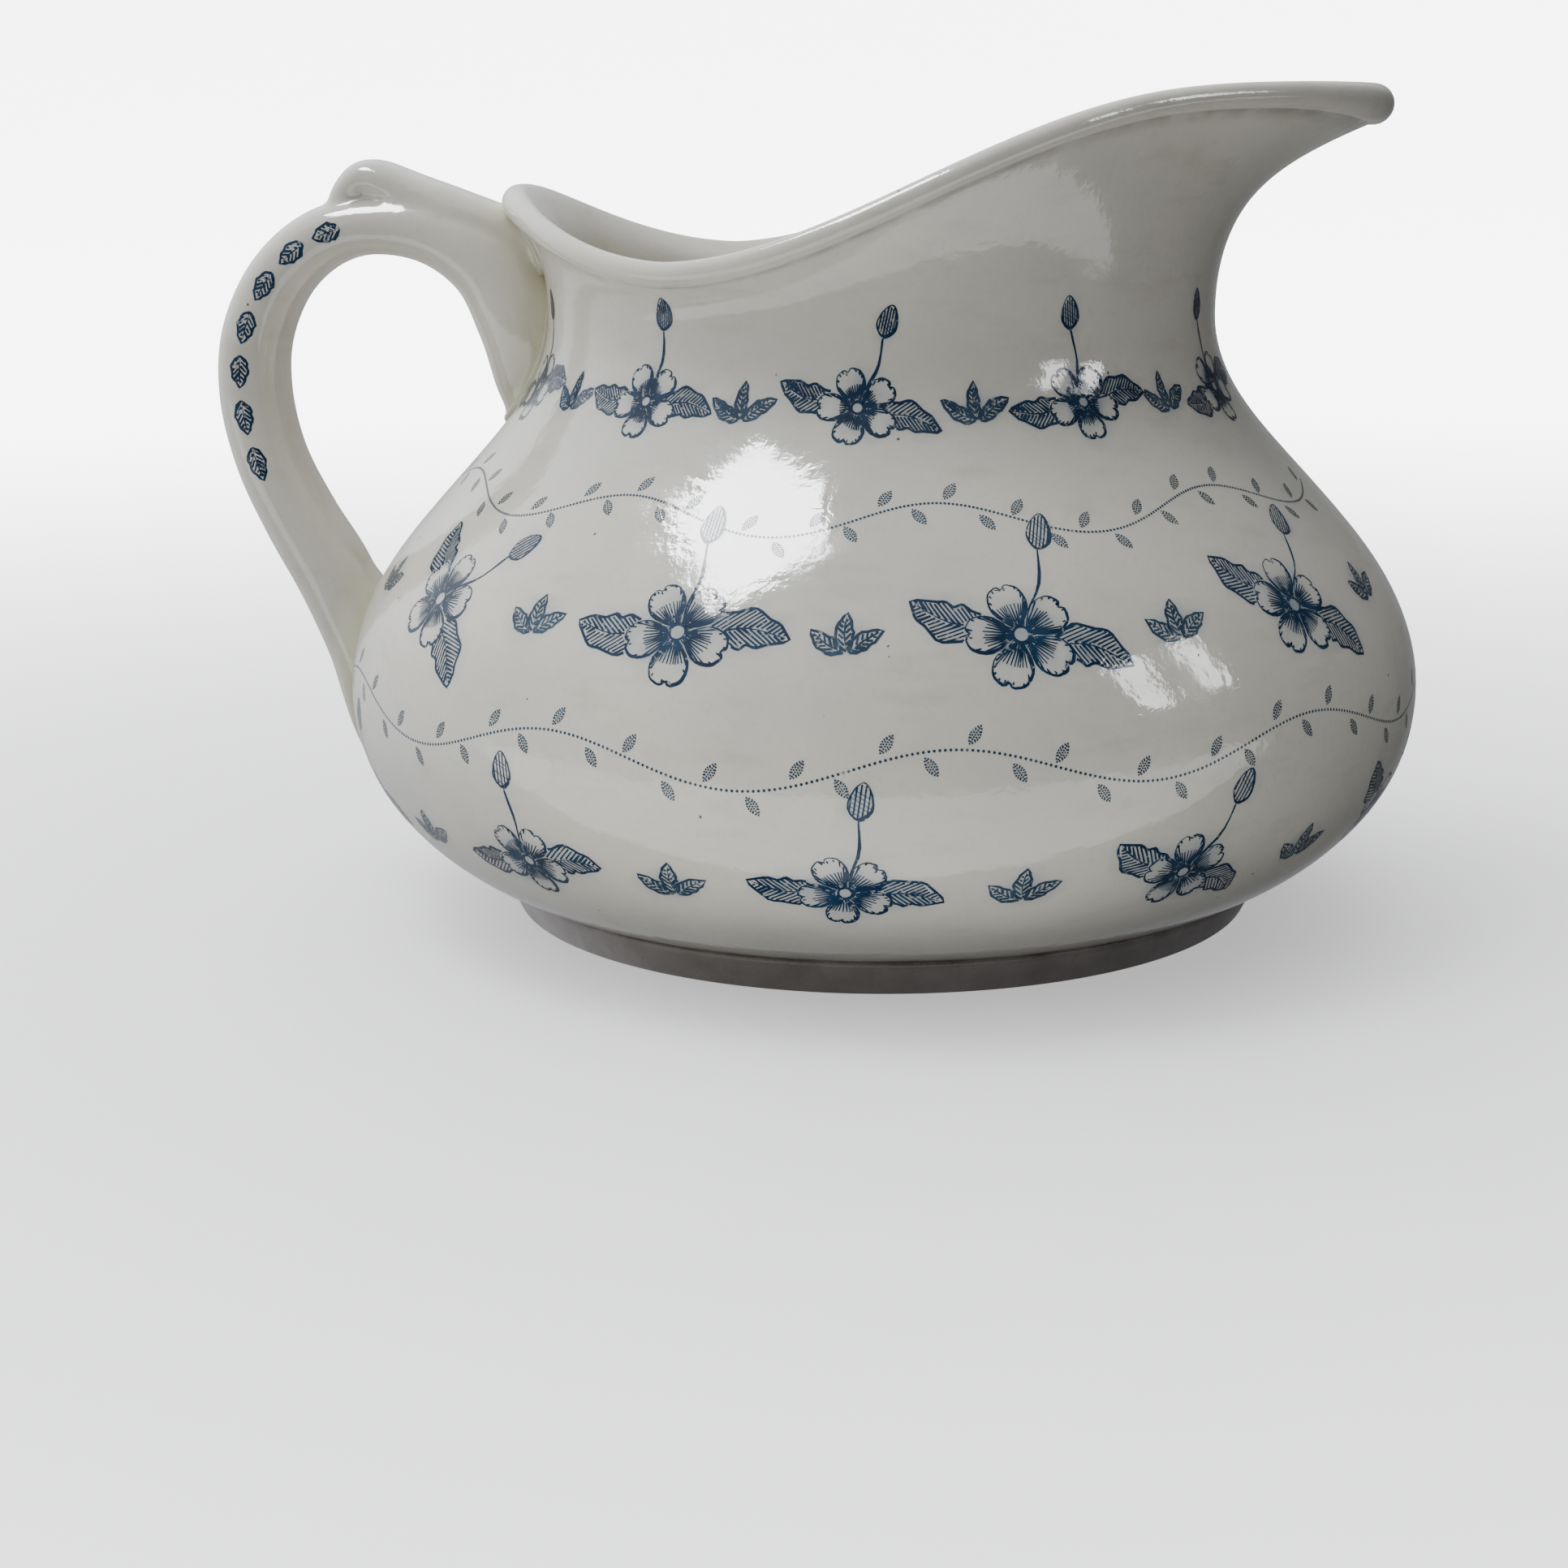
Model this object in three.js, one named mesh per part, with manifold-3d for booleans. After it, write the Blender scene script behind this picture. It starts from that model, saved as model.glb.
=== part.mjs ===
// Glazed earthenware cream jug: a wide cast body with a pulled spout, an applied foot ring, a looped
// handle with a thumb rest above it, and the thin pads of slip that lute the handle to the body.
// Millimetres, +Z up. The origin is on the table under the middle of the jug's length, and the spout
// points along +X. Inside the jug, an outline point is (radius from the pot's axis, height).

import * as THREE from "three";
import { mergeVertices } from "three/addons/utils/BufferGeometryUtils.js";
import Module from "manifold-3d";

const wasm = await Module();
wasm.setup();

// Driving dimensions.
const AXIS_X = 8.9; // the pot's own axis, ahead of the middle of the whole length
const JOINT_GAP = 0.3; // clearance left between pieces that touch
const SLIP_THICKNESS = 0.6;

const FOOT_HEIGHT = 4.6;
const FOOT_RADIUS = 48.8; // at the table
const FOOT_TOP_RADIUS = 51.2;
const FOOT_INNER_RADIUS = 41.5;
const FOOT_ROUND = 0.9; // rounding of the foot's lower edges

const BASE_HEIGHT = FOOT_HEIGHT + JOINT_GAP; // the body's flat underside
const BASE_RADIUS = 51.4;
const BELLY_RADIUS = 69.8;
const BELLY_HEIGHT = 29;
const NECK_RADIUS = 43;
const NECK_HEIGHT = 77;
const WALL = 3;

const RIM_DIP_HEIGHT = 85; // crest of the rim at its two low points
const RIM_DIP_ANGLE = 122; // degrees from the spout
const RIM_SWEEP = 1.08; // above 1 the rim starts to climb nearer the spout
const RIM_SPOUT_HEIGHT = 105.1;
const RIM_BACK_HEIGHT = 93.6;
const RIM_RADIUS = 46; // centre of the rim's bead at the sides
const SPOUT_REACH = 15.8; // how far the spout pulls the rim out
const SPOUT_SPREAD = 27; // degrees, half the spout's width round the rim
const BACK_REACH = 0.6; // and over the handle
const BACK_SPREAD = 20;
const BEAD_RADIUS = 1.5;
const BEAD_PROUD = 0.5; // the bead stands this far out of the wall below it
const TIP_SWELL = 1; // extra bead radius at the spout's tip
const TIP_SPREAD = 14;
const BACK_SWELL = 0.6;

const ROUND_STEPS = 64; // facets round the pot
const BELLY_STEPS = 7;
const SHOULDER_STEPS = 8;
const LIP_STEPS = 5;
const BEAD_STEPS = 6;

// Stations along the handle, from its tail on the neck, over the loop, to its tail on the belly:
// x from the pot's axis, height, half thickness, half width.
const HANDLE_STATIONS = [
  [-47.0, 61.0, 1.2, 3.5],
  [-46.1, 67.5, 4.4, 6.4],
  [-46.6, 75.8, 6.0, 8.2],
  [-50.2, 83.2, 5.8, 8.4],
  [-57.6, 87.5, 4.5, 7.7],
  [-66.0, 88.5, 3.8, 7.1],
  [-73.2, 86.8, 3.9, 7.0],
  [-79.1, 81.9, 4.0, 7.0],
  [-82.8, 74.5, 4.2, 7.0],
  [-83.5, 66.5, 4.3, 7.0],
  [-81.8, 58.0, 4.3, 7.0],
  [-78.2, 50.0, 4.5, 7.1],
  [-74.0, 42.5, 4.7, 7.5],
  [-71.0, 35.0, 4.3, 8.0],
  [-69.4, 27.5, 3.3, 7.6],
  [-67.6, 20.0, 2.3, 6.0],
  [-65.0, 14.0, 1.0, 3.5],
];

// Stations along the thumb rest, from the neck to where its spur bends down into the loop.
const THUMB_REST_STATIONS = [
  [-44.5, 85.4, 3.8, 7.4],
  [-53.0, 89.2, 3.0, 6.8],
  [-60.6, 92.5, 2.5, 6.1],
  [-66.3, 94.6, 2.3, 5.4],
  [-69.2, 92.9, 2.1, 4.8],
  [-71.0, 89.4, 1.8, 4.2],
];
const HANDLE_STEPS = 44;
const THUMB_REST_STEPS = 14;
const HANDLE_SIDES = 14;
const EDGE_SQUARENESS = 0.72; // below 1 the inner face is flatter and its edges fuller

const glaze = (color) => new THREE.MeshStandardMaterial({ color, roughness: 0.12, metalness: 0 });
const slip = (color) => new THREE.MeshStandardMaterial({ color, roughness: 0.55, metalness: 0 });

const degrees = THREE.MathUtils.radToDeg;
const bump = (angle, spread) => Math.exp(-((degrees(angle) / spread) ** 2));

function curvePoints(curve, steps) {
  return curve.getPoints(steps).map((point, i) => ({ point, tangent: curve.getTangent(i / steps) }));
}

// Where the centre of the rim's bead is at an angle round the pot, 0 at the spout.
function rimBead(angle) {
  const side = Math.abs(degrees(angle));
  const towardsSpout = Math.sin(0.5 * Math.PI * Math.max(0, 1 - side / RIM_DIP_ANGLE)) ** RIM_SWEEP;
  const spoutRise = Math.sin(0.5 * Math.PI * towardsSpout) ** 2;
  const backRise = THREE.MathUtils.smoothstep(side, RIM_DIP_ANGLE - 4, 178);
  const crest =
    RIM_DIP_HEIGHT +
    spoutRise * (RIM_SPOUT_HEIGHT - RIM_DIP_HEIGHT) +
    backRise * (RIM_BACK_HEIGHT - RIM_DIP_HEIGHT);
  const fromBack = Math.PI - Math.abs(angle);
  const reach = SPOUT_REACH * bump(angle, SPOUT_SPREAD) + BACK_REACH * bump(fromBack, BACK_SPREAD);
  const swell = TIP_SWELL * bump(angle, TIP_SPREAD) + BACK_SWELL * bump(fromBack, BACK_SPREAD);
  const radius = BEAD_RADIUS + swell;
  return { centre: new THREE.Vector2(RIM_RADIUS + reach, crest - radius), radius };
}

// The outer wall at an angle: belly, shoulder and the lip that flares from the neck to the bead.
// Each point carries the wall's thickness and its outward direction.
function outerWall(angle) {
  const bead = rimBead(angle);
  const flare = bead.centre.x - NECK_RADIUS;
  const rise = bead.centre.y - NECK_HEIGHT;
  const lean = new THREE.Vector2(0.71 * flare, 0.22 * rise);
  const along = lean.clone().normalize();
  const out = new THREE.Vector2(along.y, -along.x);
  const inset = bead.radius - BEAD_PROUD;
  const seat = Math.sqrt(bead.radius ** 2 - inset ** 2);
  const lipEnd = bead.centre.clone().addScaledVector(out, inset).addScaledVector(along, -seat);
  const belly = new THREE.CubicBezierCurve(
    new THREE.Vector2(BASE_RADIUS, BASE_HEIGHT),
    new THREE.Vector2(61.5, 9.2),
    new THREE.Vector2(BELLY_RADIUS, 18),
    new THREE.Vector2(BELLY_RADIUS, BELLY_HEIGHT),
  );
  const shoulder = new THREE.CubicBezierCurve(
    new THREE.Vector2(BELLY_RADIUS, BELLY_HEIGHT),
    new THREE.Vector2(BELLY_RADIUS, 51),
    new THREE.Vector2(NECK_RADIUS, 60.6),
    new THREE.Vector2(NECK_RADIUS, NECK_HEIGHT),
  );
  const lip = new THREE.CubicBezierCurve(
    new THREE.Vector2(NECK_RADIUS, NECK_HEIGHT),
    new THREE.Vector2(NECK_RADIUS, NECK_HEIGHT + 0.5 * rise),
    lipEnd.clone().sub(lean),
    lipEnd,
  );
  const points = [
    ...curvePoints(belly, BELLY_STEPS),
    ...curvePoints(shoulder, SHOULDER_STEPS).slice(1),
    ...curvePoints(lip, LIP_STEPS).slice(1),
  ];
  const rimWall = 2 * bead.radius - BEAD_PROUD;
  points.forEach((entry, i) => {
    const toRim = Math.max(0, (i - BELLY_STEPS - SHOULDER_STEPS) / LIP_STEPS);
    entry.out = new THREE.Vector2(entry.tangent.y, -entry.tangent.x);
    entry.wall = THREE.MathUtils.lerp(WALL, rimWall, toRim);
  });
  return { points, bead, along, out, startTurn: -Math.atan2(seat, inset) };
}

// The bead's surface, from the crease under it, over the crest, to the inner wall.
function beadArc({ bead, along, out, startTurn }, grow) {
  return Array.from({ length: BEAD_STEPS - 1 }, (_, i) => {
    const turn = THREE.MathUtils.lerp(startTurn, Math.PI, (i + 1) / BEAD_STEPS);
    return bead.centre
      .clone()
      .addScaledVector(out, (bead.radius + grow) * Math.cos(turn))
      .addScaledVector(along, (bead.radius + grow) * Math.sin(turn));
  });
}

// The cut face of the wall at one angle, from the middle of the underside, up the outside, over the
// rim and down the inside to the middle of the floor.
function shellOutline(angle) {
  const wall = outerWall(angle);
  const inner = wall.points.map(({ point, out, wall: thickness }) =>
    point.clone().addScaledVector(out, -thickness),
  );
  return [
    new THREE.Vector2(0, BASE_HEIGHT),
    new THREE.Vector2(FOOT_INNER_RADIUS, BASE_HEIGHT),
    ...wall.points.map(({ point }) => point),
    ...beadArc(wall, 0),
    ...inner.reverse(),
    new THREE.Vector2(0, BASE_HEIGHT + WALL + JOINT_GAP),
  ];
}

// The same outside, grown and filled in: used to cut the handle where it meets the body.
function filledOutline(angle, grow) {
  const wall = outerWall(angle);
  return [
    new THREE.Vector2(0, BASE_HEIGHT - grow),
    ...wall.points.map(({ point, out }) => point.clone().addScaledVector(out, grow)),
    ...beadArc(wall, grow),
    new THREE.Vector2(0, RIM_BACK_HEIGHT),
  ];
}

// A turned pot whose outline changes as it goes round: a lathe made from the outline at the spout,
// with each of its columns then put on the outline for its own angle.
function turned(outline) {
  const geometry = new THREE.LatheGeometry(outline(0), ROUND_STEPS);
  const position = geometry.getAttribute("position");
  const rows = position.count / (ROUND_STEPS + 1);
  for (let column = 0; column <= ROUND_STEPS; column++) {
    const angle = ((column % ROUND_STEPS) / ROUND_STEPS) * 2 * Math.PI - Math.PI;
    outline(angle).forEach(({ x: radius, y: height }, row) => {
      position.setXYZ(column * rows + row, radius * Math.cos(angle), radius * Math.sin(angle), height);
    });
  }
  return geometry;
}

const squarer = (value) => Math.sign(value) * Math.abs(value) ** EDGE_SQUARENESS;

// A rod of clay bent along its stations in the plane of the spout. Its outer side is round, and the
// side towards the fingers is flatter.
function bentRod(stations, steps, grow = 0) {
  const centres = new THREE.CatmullRomCurve3(stations.map(([x, z]) => new THREE.Vector3(x, 0, z)));
  const sizes = new THREE.CatmullRomCurve3(
    stations.map(([, , thick, wide]) => new THREE.Vector3(thick + grow, wide + grow, 0)),
  );
  const geometry = new THREE.CylinderGeometry(1, 1, 1, HANDLE_SIDES, steps);
  const position = geometry.getAttribute("position");
  for (let i = 0; i < position.count; i++) {
    const along = 0.5 - position.getY(i);
    const centre = centres.getPoint(along);
    const tangent = centres.getTangent(along);
    const size = sizes.getPoint(along);
    const outward = position.getX(i) > 0 ? position.getX(i) : squarer(position.getX(i));
    const thick = outward * size.x;
    const wide = squarer(position.getZ(i)) * size.y;
    position.setXYZ(i, centre.x + tangent.z * thick, wide, centre.z - tangent.x * thick);
  }
  return geometry;
}

function solidOf(geometry) {
  geometry.deleteAttribute("normal");
  geometry.deleteAttribute("uv");
  const merged = mergeVertices(geometry, 1e-4);
  const mesh = new wasm.Mesh({
    numProp: 3,
    vertProperties: merged.getAttribute("position").array,
    triVerts: new Uint32Array(merged.getIndex().array),
  });
  return new wasm.Manifold(mesh);
}

function geometryOf(solid) {
  const mesh = solid.getMesh();
  const geometry = new THREE.BufferGeometry();
  geometry.setAttribute("position", new THREE.BufferAttribute(mesh.vertProperties, 3));
  geometry.setIndex(new THREE.BufferAttribute(mesh.triVerts, 1));
  geometry.computeVertexNormals();
  return geometry;
}

function footRing() {
  const round = (x, y, from, to) =>
    new THREE.EllipseCurve(x, y, FOOT_ROUND, FOOT_ROUND, from, to, false).getPoints(3);
  const outline = [
    ...round(FOOT_INNER_RADIUS + FOOT_ROUND, FOOT_ROUND, Math.PI, 1.5 * Math.PI),
    ...round(FOOT_RADIUS - FOOT_ROUND, FOOT_ROUND, 1.5 * Math.PI, 2 * Math.PI),
    new THREE.Vector2(FOOT_TOP_RADIUS, FOOT_HEIGHT),
    new THREE.Vector2(FOOT_INNER_RADIUS, FOOT_HEIGHT),
    new THREE.Vector2(FOOT_INNER_RADIUS, FOOT_ROUND),
  ];
  return new THREE.LatheGeometry(outline, ROUND_STEPS).rotateX(Math.PI / 2);
}

const filledBody = (grow) => solidOf(turned((angle) => filledOutline(angle, grow)));
const handleRod = (grow) => solidOf(bentRod(HANDLE_STATIONS, HANDLE_STEPS, grow));
const thumbRod = (grow) => solidOf(bentRod(THUMB_REST_STATIONS, THUMB_REST_STEPS, grow));

function handlePieces() {
  const cutter = filledBody(SLIP_THICKNESS + 2 * JOINT_GAP);
  return {
    handle: handleRod(0).subtract(cutter),
    thumbRest: thumbRod(0).subtract(cutter).subtract(handleRod(JOINT_GAP)),
  };
}

// The slip squeezed out between the handle's roots and the body, a little wider than the roots.
function slipPads() {
  const layer = filledBody(SLIP_THICKNESS + JOINT_GAP).subtract(filledBody(JOINT_GAP));
  const pads = handleRod(SLIP_THICKNESS).add(thumbRod(SLIP_THICKNESS)).intersect(layer).decompose();
  const middle = (pad) => (pad.boundingBox().min[2] + pad.boundingBox().max[2]) / 2;
  return pads.sort((a, b) => middle(b) - middle(a));
}

function named(name, geometry, material) {
  const mesh = new THREE.Mesh(geometry, material);
  mesh.name = name;
  return mesh;
}

const { handle, thumbRest } = handlePieces();
const [upperPad, lowerPad] = slipPads();

const group = new THREE.Group();
group.position.x = AXIS_X;
group.add(
  named("body", turned(shellOutline), glaze(0xd9d8d0)),
  named("foot_ring", footRing(), glaze(0xb9aca2)),
  named("handle", geometryOf(handle), glaze(0xd3d3c3)),
  named("thumb_rest", geometryOf(thumbRest), glaze(0xd3d3c3)),
  named("upper_slip_joint", geometryOf(upperPad), slip(0xc9c7a8)),
  named("lower_slip_joint", geometryOf(lowerPad), slip(0xc9c7a8)),
);

export default group;
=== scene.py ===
"""Looks for the glazed cream jug: the smooth cast body, its foot, the looped handle with its thumb
rest, the slip in the joints and the blue print under the glaze, set on a plain pale floor.

Shapes are worked out in millimetres from the pot's own axis, the spout along +X and +Z up, and go
into their meshes in metres in the frame's own place.
"""

import math

import bmesh
import bpy
import numpy as np
from mathutils import Matrix, Vector
from mathutils.bvhtree import BVHTree


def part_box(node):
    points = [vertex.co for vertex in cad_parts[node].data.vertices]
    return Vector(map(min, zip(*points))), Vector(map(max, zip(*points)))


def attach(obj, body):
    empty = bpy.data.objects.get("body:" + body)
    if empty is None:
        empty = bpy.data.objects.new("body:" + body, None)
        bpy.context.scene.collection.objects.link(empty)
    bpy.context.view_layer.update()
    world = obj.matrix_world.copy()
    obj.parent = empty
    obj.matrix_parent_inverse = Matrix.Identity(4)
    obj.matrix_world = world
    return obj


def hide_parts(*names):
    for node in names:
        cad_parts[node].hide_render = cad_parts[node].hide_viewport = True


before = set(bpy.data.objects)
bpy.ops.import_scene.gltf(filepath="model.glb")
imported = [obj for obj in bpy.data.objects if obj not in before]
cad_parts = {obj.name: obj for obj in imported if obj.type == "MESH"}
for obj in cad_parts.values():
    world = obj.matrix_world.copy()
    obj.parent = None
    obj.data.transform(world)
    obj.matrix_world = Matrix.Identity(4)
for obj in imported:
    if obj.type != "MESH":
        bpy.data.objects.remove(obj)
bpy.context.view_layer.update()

MM = 0.001

# ---------------------------------------------------------------- driving dimensions, millimetres

FOOT_LOW, FOOT_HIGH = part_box("foot_ring")
AXIS_X = (FOOT_LOW.x + FOOT_HIGH.x) / 2 / MM  # the pot's own axis
FOOT_TOP_RADIUS = (FOOT_HIGH.x - FOOT_LOW.x) / 2 / MM
FOOT_HEIGHT = FOOT_HIGH.z / MM
FOOT_RADIUS = FOOT_TOP_RADIUS - 2.4
FOOT_INNER_RADIUS = 41.5
FOOT_ROUND = 0.9

BODY_LOW, BODY_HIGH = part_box("body")
BASE_HEIGHT = BODY_LOW.z / MM
BASE_RADIUS = FOOT_TOP_RADIUS + 0.2
BELLY_RADIUS = BODY_HIGH.y / MM
BELLY_HEIGHT = 29
NECK_RADIUS = 43
NECK_HEIGHT = 77
WALL = 3

RIM_DIP_HEIGHT = 85
RIM_DIP_ANGLE = 122  # degrees from the spout
RIM_SWEEP = 1.08
RIM_SPOUT_HEIGHT = BODY_HIGH.z / MM
RIM_BACK_HEIGHT = 93.6
RIM_RADIUS = 46
SPOUT_REACH = 15.8
SPOUT_SPREAD = 27
BACK_REACH = 0.6
BACK_SPREAD = 20
BEAD_RADIUS = 1.5
BEAD_PROUD = 0.5
TIP_SWELL = 1
TIP_SPREAD = 14
BACK_SWELL = 0.6

COLUMNS = 360
BELLY_STEPS = 30
SHOULDER_STEPS = 40
LIP_STEPS = 26
BEAD_STEPS = 20
FLOOR_STEPS = 8
WOBBLE = 0.12  # how far a hand-finished wall wanders from true

# x from the pot's axis, height, half thickness, half width
HANDLE_STATIONS = [
    (-47.0, 61.0, 1.2, 3.5),
    (-46.1, 67.5, 4.4, 6.4),
    (-46.6, 75.8, 6.0, 8.2),
    (-50.2, 83.2, 5.8, 8.4),
    (-57.6, 87.5, 4.5, 7.7),
    (-66.0, 88.5, 3.8, 7.1),
    (-73.2, 86.8, 3.9, 7.0),
    (-79.1, 81.9, 4.0, 7.0),
    (-82.8, 74.5, 4.2, 7.0),
    (-83.5, 66.5, 4.3, 7.0),
    (-81.8, 58.0, 4.3, 7.0),
    (-78.2, 50.0, 4.5, 7.1),
    (-74.0, 42.5, 4.7, 7.5),
    (-71.0, 35.0, 4.3, 8.0),
    (-69.4, 27.5, 3.3, 7.6),
    (-67.6, 20.0, 2.3, 6.0),
    (-65.0, 14.0, 1.0, 3.5),
]
THUMB_REST_STATIONS = [
    (-42.6, 84.8, 3.4, 6.4),
    (-53.0, 89.2, 3.0, 6.8),
    (-60.6, 92.5, 2.5, 6.1),
    (-66.3, 94.6, 2.3, 5.4),
    (-69.2, 92.9, 2.1, 4.8),
    (-71.0, 89.4, 1.8, 4.2),
]
EDGE_SQUARENESS = 0.72
ROD_STEPS = 150
ROD_SIDES = 56
ROD_VOXEL = 0.5

# ---------------------------------------------------------------- small helpers


def smoothstep(value, low, high):
    t = np.clip((value - low) / (high - low), 0, 1)
    return t * t * (3 - 2 * t)


def bump(angle, spread):
    return math.exp(-((math.degrees(angle) / spread) ** 2))


def bezier(points, steps):
    """Points along a cubic curve, and the unit direction at each."""
    a, b, c, d = (np.array(p, float) for p in points)
    t = np.linspace(0, 1, steps + 1)[:, None]
    place = a * (1 - t) ** 3 + 3 * b * t * (1 - t) ** 2 + 3 * c * t * t * (1 - t) + d * t**3
    along = (b - a) * (1 - t) ** 2 + 2 * (c - b) * t * (1 - t) + (d - c) * t * t
    return place, along / np.linalg.norm(along, axis=1, keepdims=True)


def through(stations, t):
    """A smooth curve through rows of numbers, t from 0 to 1."""
    rows = np.array(stations, float)
    rows = np.vstack([2 * rows[0] - rows[1], rows, 2 * rows[-1] - rows[-2]])
    u = np.asarray(t, float) * (len(rows) - 3)
    i = np.clip(u.astype(int), 0, len(rows) - 4)
    f = (u - i)[:, None]
    p, q, r, s = rows[i], rows[i + 1], rows[i + 2], rows[i + 3]
    return 0.5 * (
        2 * q + (r - p) * f + (2 * p - 5 * q + 4 * r - s) * f**2 + (3 * q - p - 3 * r + s) * f**3
    )


def add_mesh(name, points, faces, smooth=True):
    """A new object from points in millimetres about the pot's axis."""
    mesh = bpy.data.meshes.new(name)
    places = (np.asarray(points, float) + (AXIS_X, 0, 0)) * MM
    mesh.from_pydata(places.tolist(), [], [list(map(int, face)) for face in faces])
    mesh.update()
    mesh.shade_smooth() if smooth else mesh.shade_flat()
    made = bpy.data.objects.new(name, mesh)
    bpy.context.scene.collection.objects.link(made)
    return made


def baked(source, name):
    """A plain mesh object from what an object's modifiers make."""
    shown = source.evaluated_get(bpy.context.evaluated_depsgraph_get())
    mesh = bpy.data.meshes.new_from_object(shown)
    mesh.name = name
    bpy.data.objects.remove(source)
    made = bpy.data.objects.new(name, mesh)
    bpy.context.scene.collection.objects.link(made)
    mesh.shade_smooth()
    return made


def face_out(made):
    """Merges doubled points and turns every face outwards."""
    work = bmesh.new()
    work.from_mesh(made.data)
    bmesh.ops.remove_doubles(work, verts=work.verts, dist=1e-6)
    bmesh.ops.recalc_face_normals(work, faces=work.faces)
    work.to_mesh(made.data)
    work.free()
    made.data.update()


def places_of(made):
    """An object's vertices in millimetres about the pot's axis."""
    flat = np.empty(len(made.data.vertices) * 3)
    made.data.vertices.foreach_get("co", flat)
    return flat.reshape(-1, 3) / MM - (AXIS_X, 0, 0)


def put_places(made, points):
    flat = ((points + (AXIS_X, 0, 0)) * MM).ravel()
    made.data.vertices.foreach_set("co", flat)
    made.data.update()


def paint(made, name, values):
    """A number for each vertex, for a material to read."""
    layer = made.data.attributes.new(name, "FLOAT", "POINT")
    layer.data.foreach_set("value", np.asarray(values, np.float32))


# ---------------------------------------------------------------- the pot's outline


def rim_bead(angle):
    """Centre and radius of the rim's bead at an angle round the pot, 0 at the spout."""
    side = abs(math.degrees(angle))
    towards_spout = math.sin(0.5 * math.pi * max(0, 1 - side / RIM_DIP_ANGLE)) ** RIM_SWEEP
    spout_rise = math.sin(0.5 * math.pi * towards_spout) ** 2
    back_rise = float(smoothstep(side, RIM_DIP_ANGLE - 4, 178))
    crest = RIM_DIP_HEIGHT + spout_rise * (RIM_SPOUT_HEIGHT - RIM_DIP_HEIGHT)
    crest += back_rise * (RIM_BACK_HEIGHT - RIM_DIP_HEIGHT)
    from_back = math.pi - abs(angle)
    reach = SPOUT_REACH * bump(angle, SPOUT_SPREAD) + BACK_REACH * bump(from_back, BACK_SPREAD)
    radius = BEAD_RADIUS + TIP_SWELL * bump(angle, TIP_SPREAD)
    radius += BACK_SWELL * bump(from_back, BACK_SPREAD)
    return np.array([RIM_RADIUS + reach, crest - radius]), radius


def wall_outline(angle):
    """The outer wall from foot to bead: points, outward directions, thickness, and the bead's arc."""
    centre, radius = rim_bead(angle)
    flare = centre[0] - NECK_RADIUS
    rise = centre[1] - NECK_HEIGHT
    lean = np.array([0.71 * flare, 0.22 * rise])
    along = lean / np.linalg.norm(lean)
    out = np.array([along[1], -along[0]])
    inset = radius - BEAD_PROUD
    seat = math.sqrt(radius**2 - inset**2)
    lip_end = centre + out * inset - along * seat
    belly = [(BASE_RADIUS, BASE_HEIGHT), (61.5, 9.2), (BELLY_RADIUS, 18), (BELLY_RADIUS, BELLY_HEIGHT)]
    shoulder = [
        (BELLY_RADIUS, BELLY_HEIGHT),
        (BELLY_RADIUS, 51),
        (NECK_RADIUS, 60.6),
        (NECK_RADIUS, NECK_HEIGHT),
    ]
    lip = [
        (NECK_RADIUS, NECK_HEIGHT),
        (NECK_RADIUS, NECK_HEIGHT + 0.5 * rise),
        lip_end - lean,
        lip_end,
    ]
    parts = [bezier(belly, BELLY_STEPS), bezier(shoulder, SHOULDER_STEPS), bezier(lip, LIP_STEPS)]
    points = np.vstack([parts[0][0], parts[1][0][1:], parts[2][0][1:]])
    tangents = np.vstack([parts[0][1], parts[1][1][1:], parts[2][1][1:]])
    outward = np.column_stack([tangents[:, 1], -tangents[:, 0]])
    to_rim = np.clip((np.arange(len(points)) - BELLY_STEPS - SHOULDER_STEPS) / LIP_STEPS, 0, 1)
    thickness = WALL + to_rim * (2 * radius - BEAD_PROUD - WALL)
    turns = np.linspace(-math.atan2(seat, inset), math.pi, BEAD_STEPS + 1)[1:-1, None]
    arc = centre + out * radius * np.cos(turns) + along * radius * np.sin(turns)
    return points, outward, thickness, arc


def wobble(angle, heights):
    """The slow wander of a cast and sponged wall, nothing at the foot and little at the rim."""
    slow = np.sin(3 * angle + 0.07 * heights) + 0.7 * np.sin(5 * angle - 0.11 * heights + 1.3)
    fine = 0.35 * np.sin(11 * angle + 0.23 * heights + 0.6) + 0.3 * np.sin(0.45 * heights + 2 * angle)
    return WOBBLE * (slow + fine) * smoothstep(heights, BASE_HEIGHT + 1, 24) * 0.6


def shell_column(angle):
    """The cut face of the wall, from the middle of the underside round to the middle of the floor."""
    points, outward, thickness, arc = wall_outline(angle)
    inner = points - outward * thickness[:, None]
    points = points + outward * wobble(angle, points[:, 1])[:, None]
    under = np.column_stack([np.linspace(0, 1, FLOOR_STEPS) * BASE_RADIUS, np.full(FLOOR_STEPS, BASE_HEIGHT)])
    floor = inner[0]
    inside = np.column_stack([np.linspace(1, 0, FLOOR_STEPS) * floor[0], np.full(FLOOR_STEPS, 0.0)])
    inside[:, 1] = floor[1] + 0.6 * (1 - (inside[:, 0] / floor[0]) ** 2)
    return np.vstack([under[:-1], points, arc, inner[::-1], inside[1:]])


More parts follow.
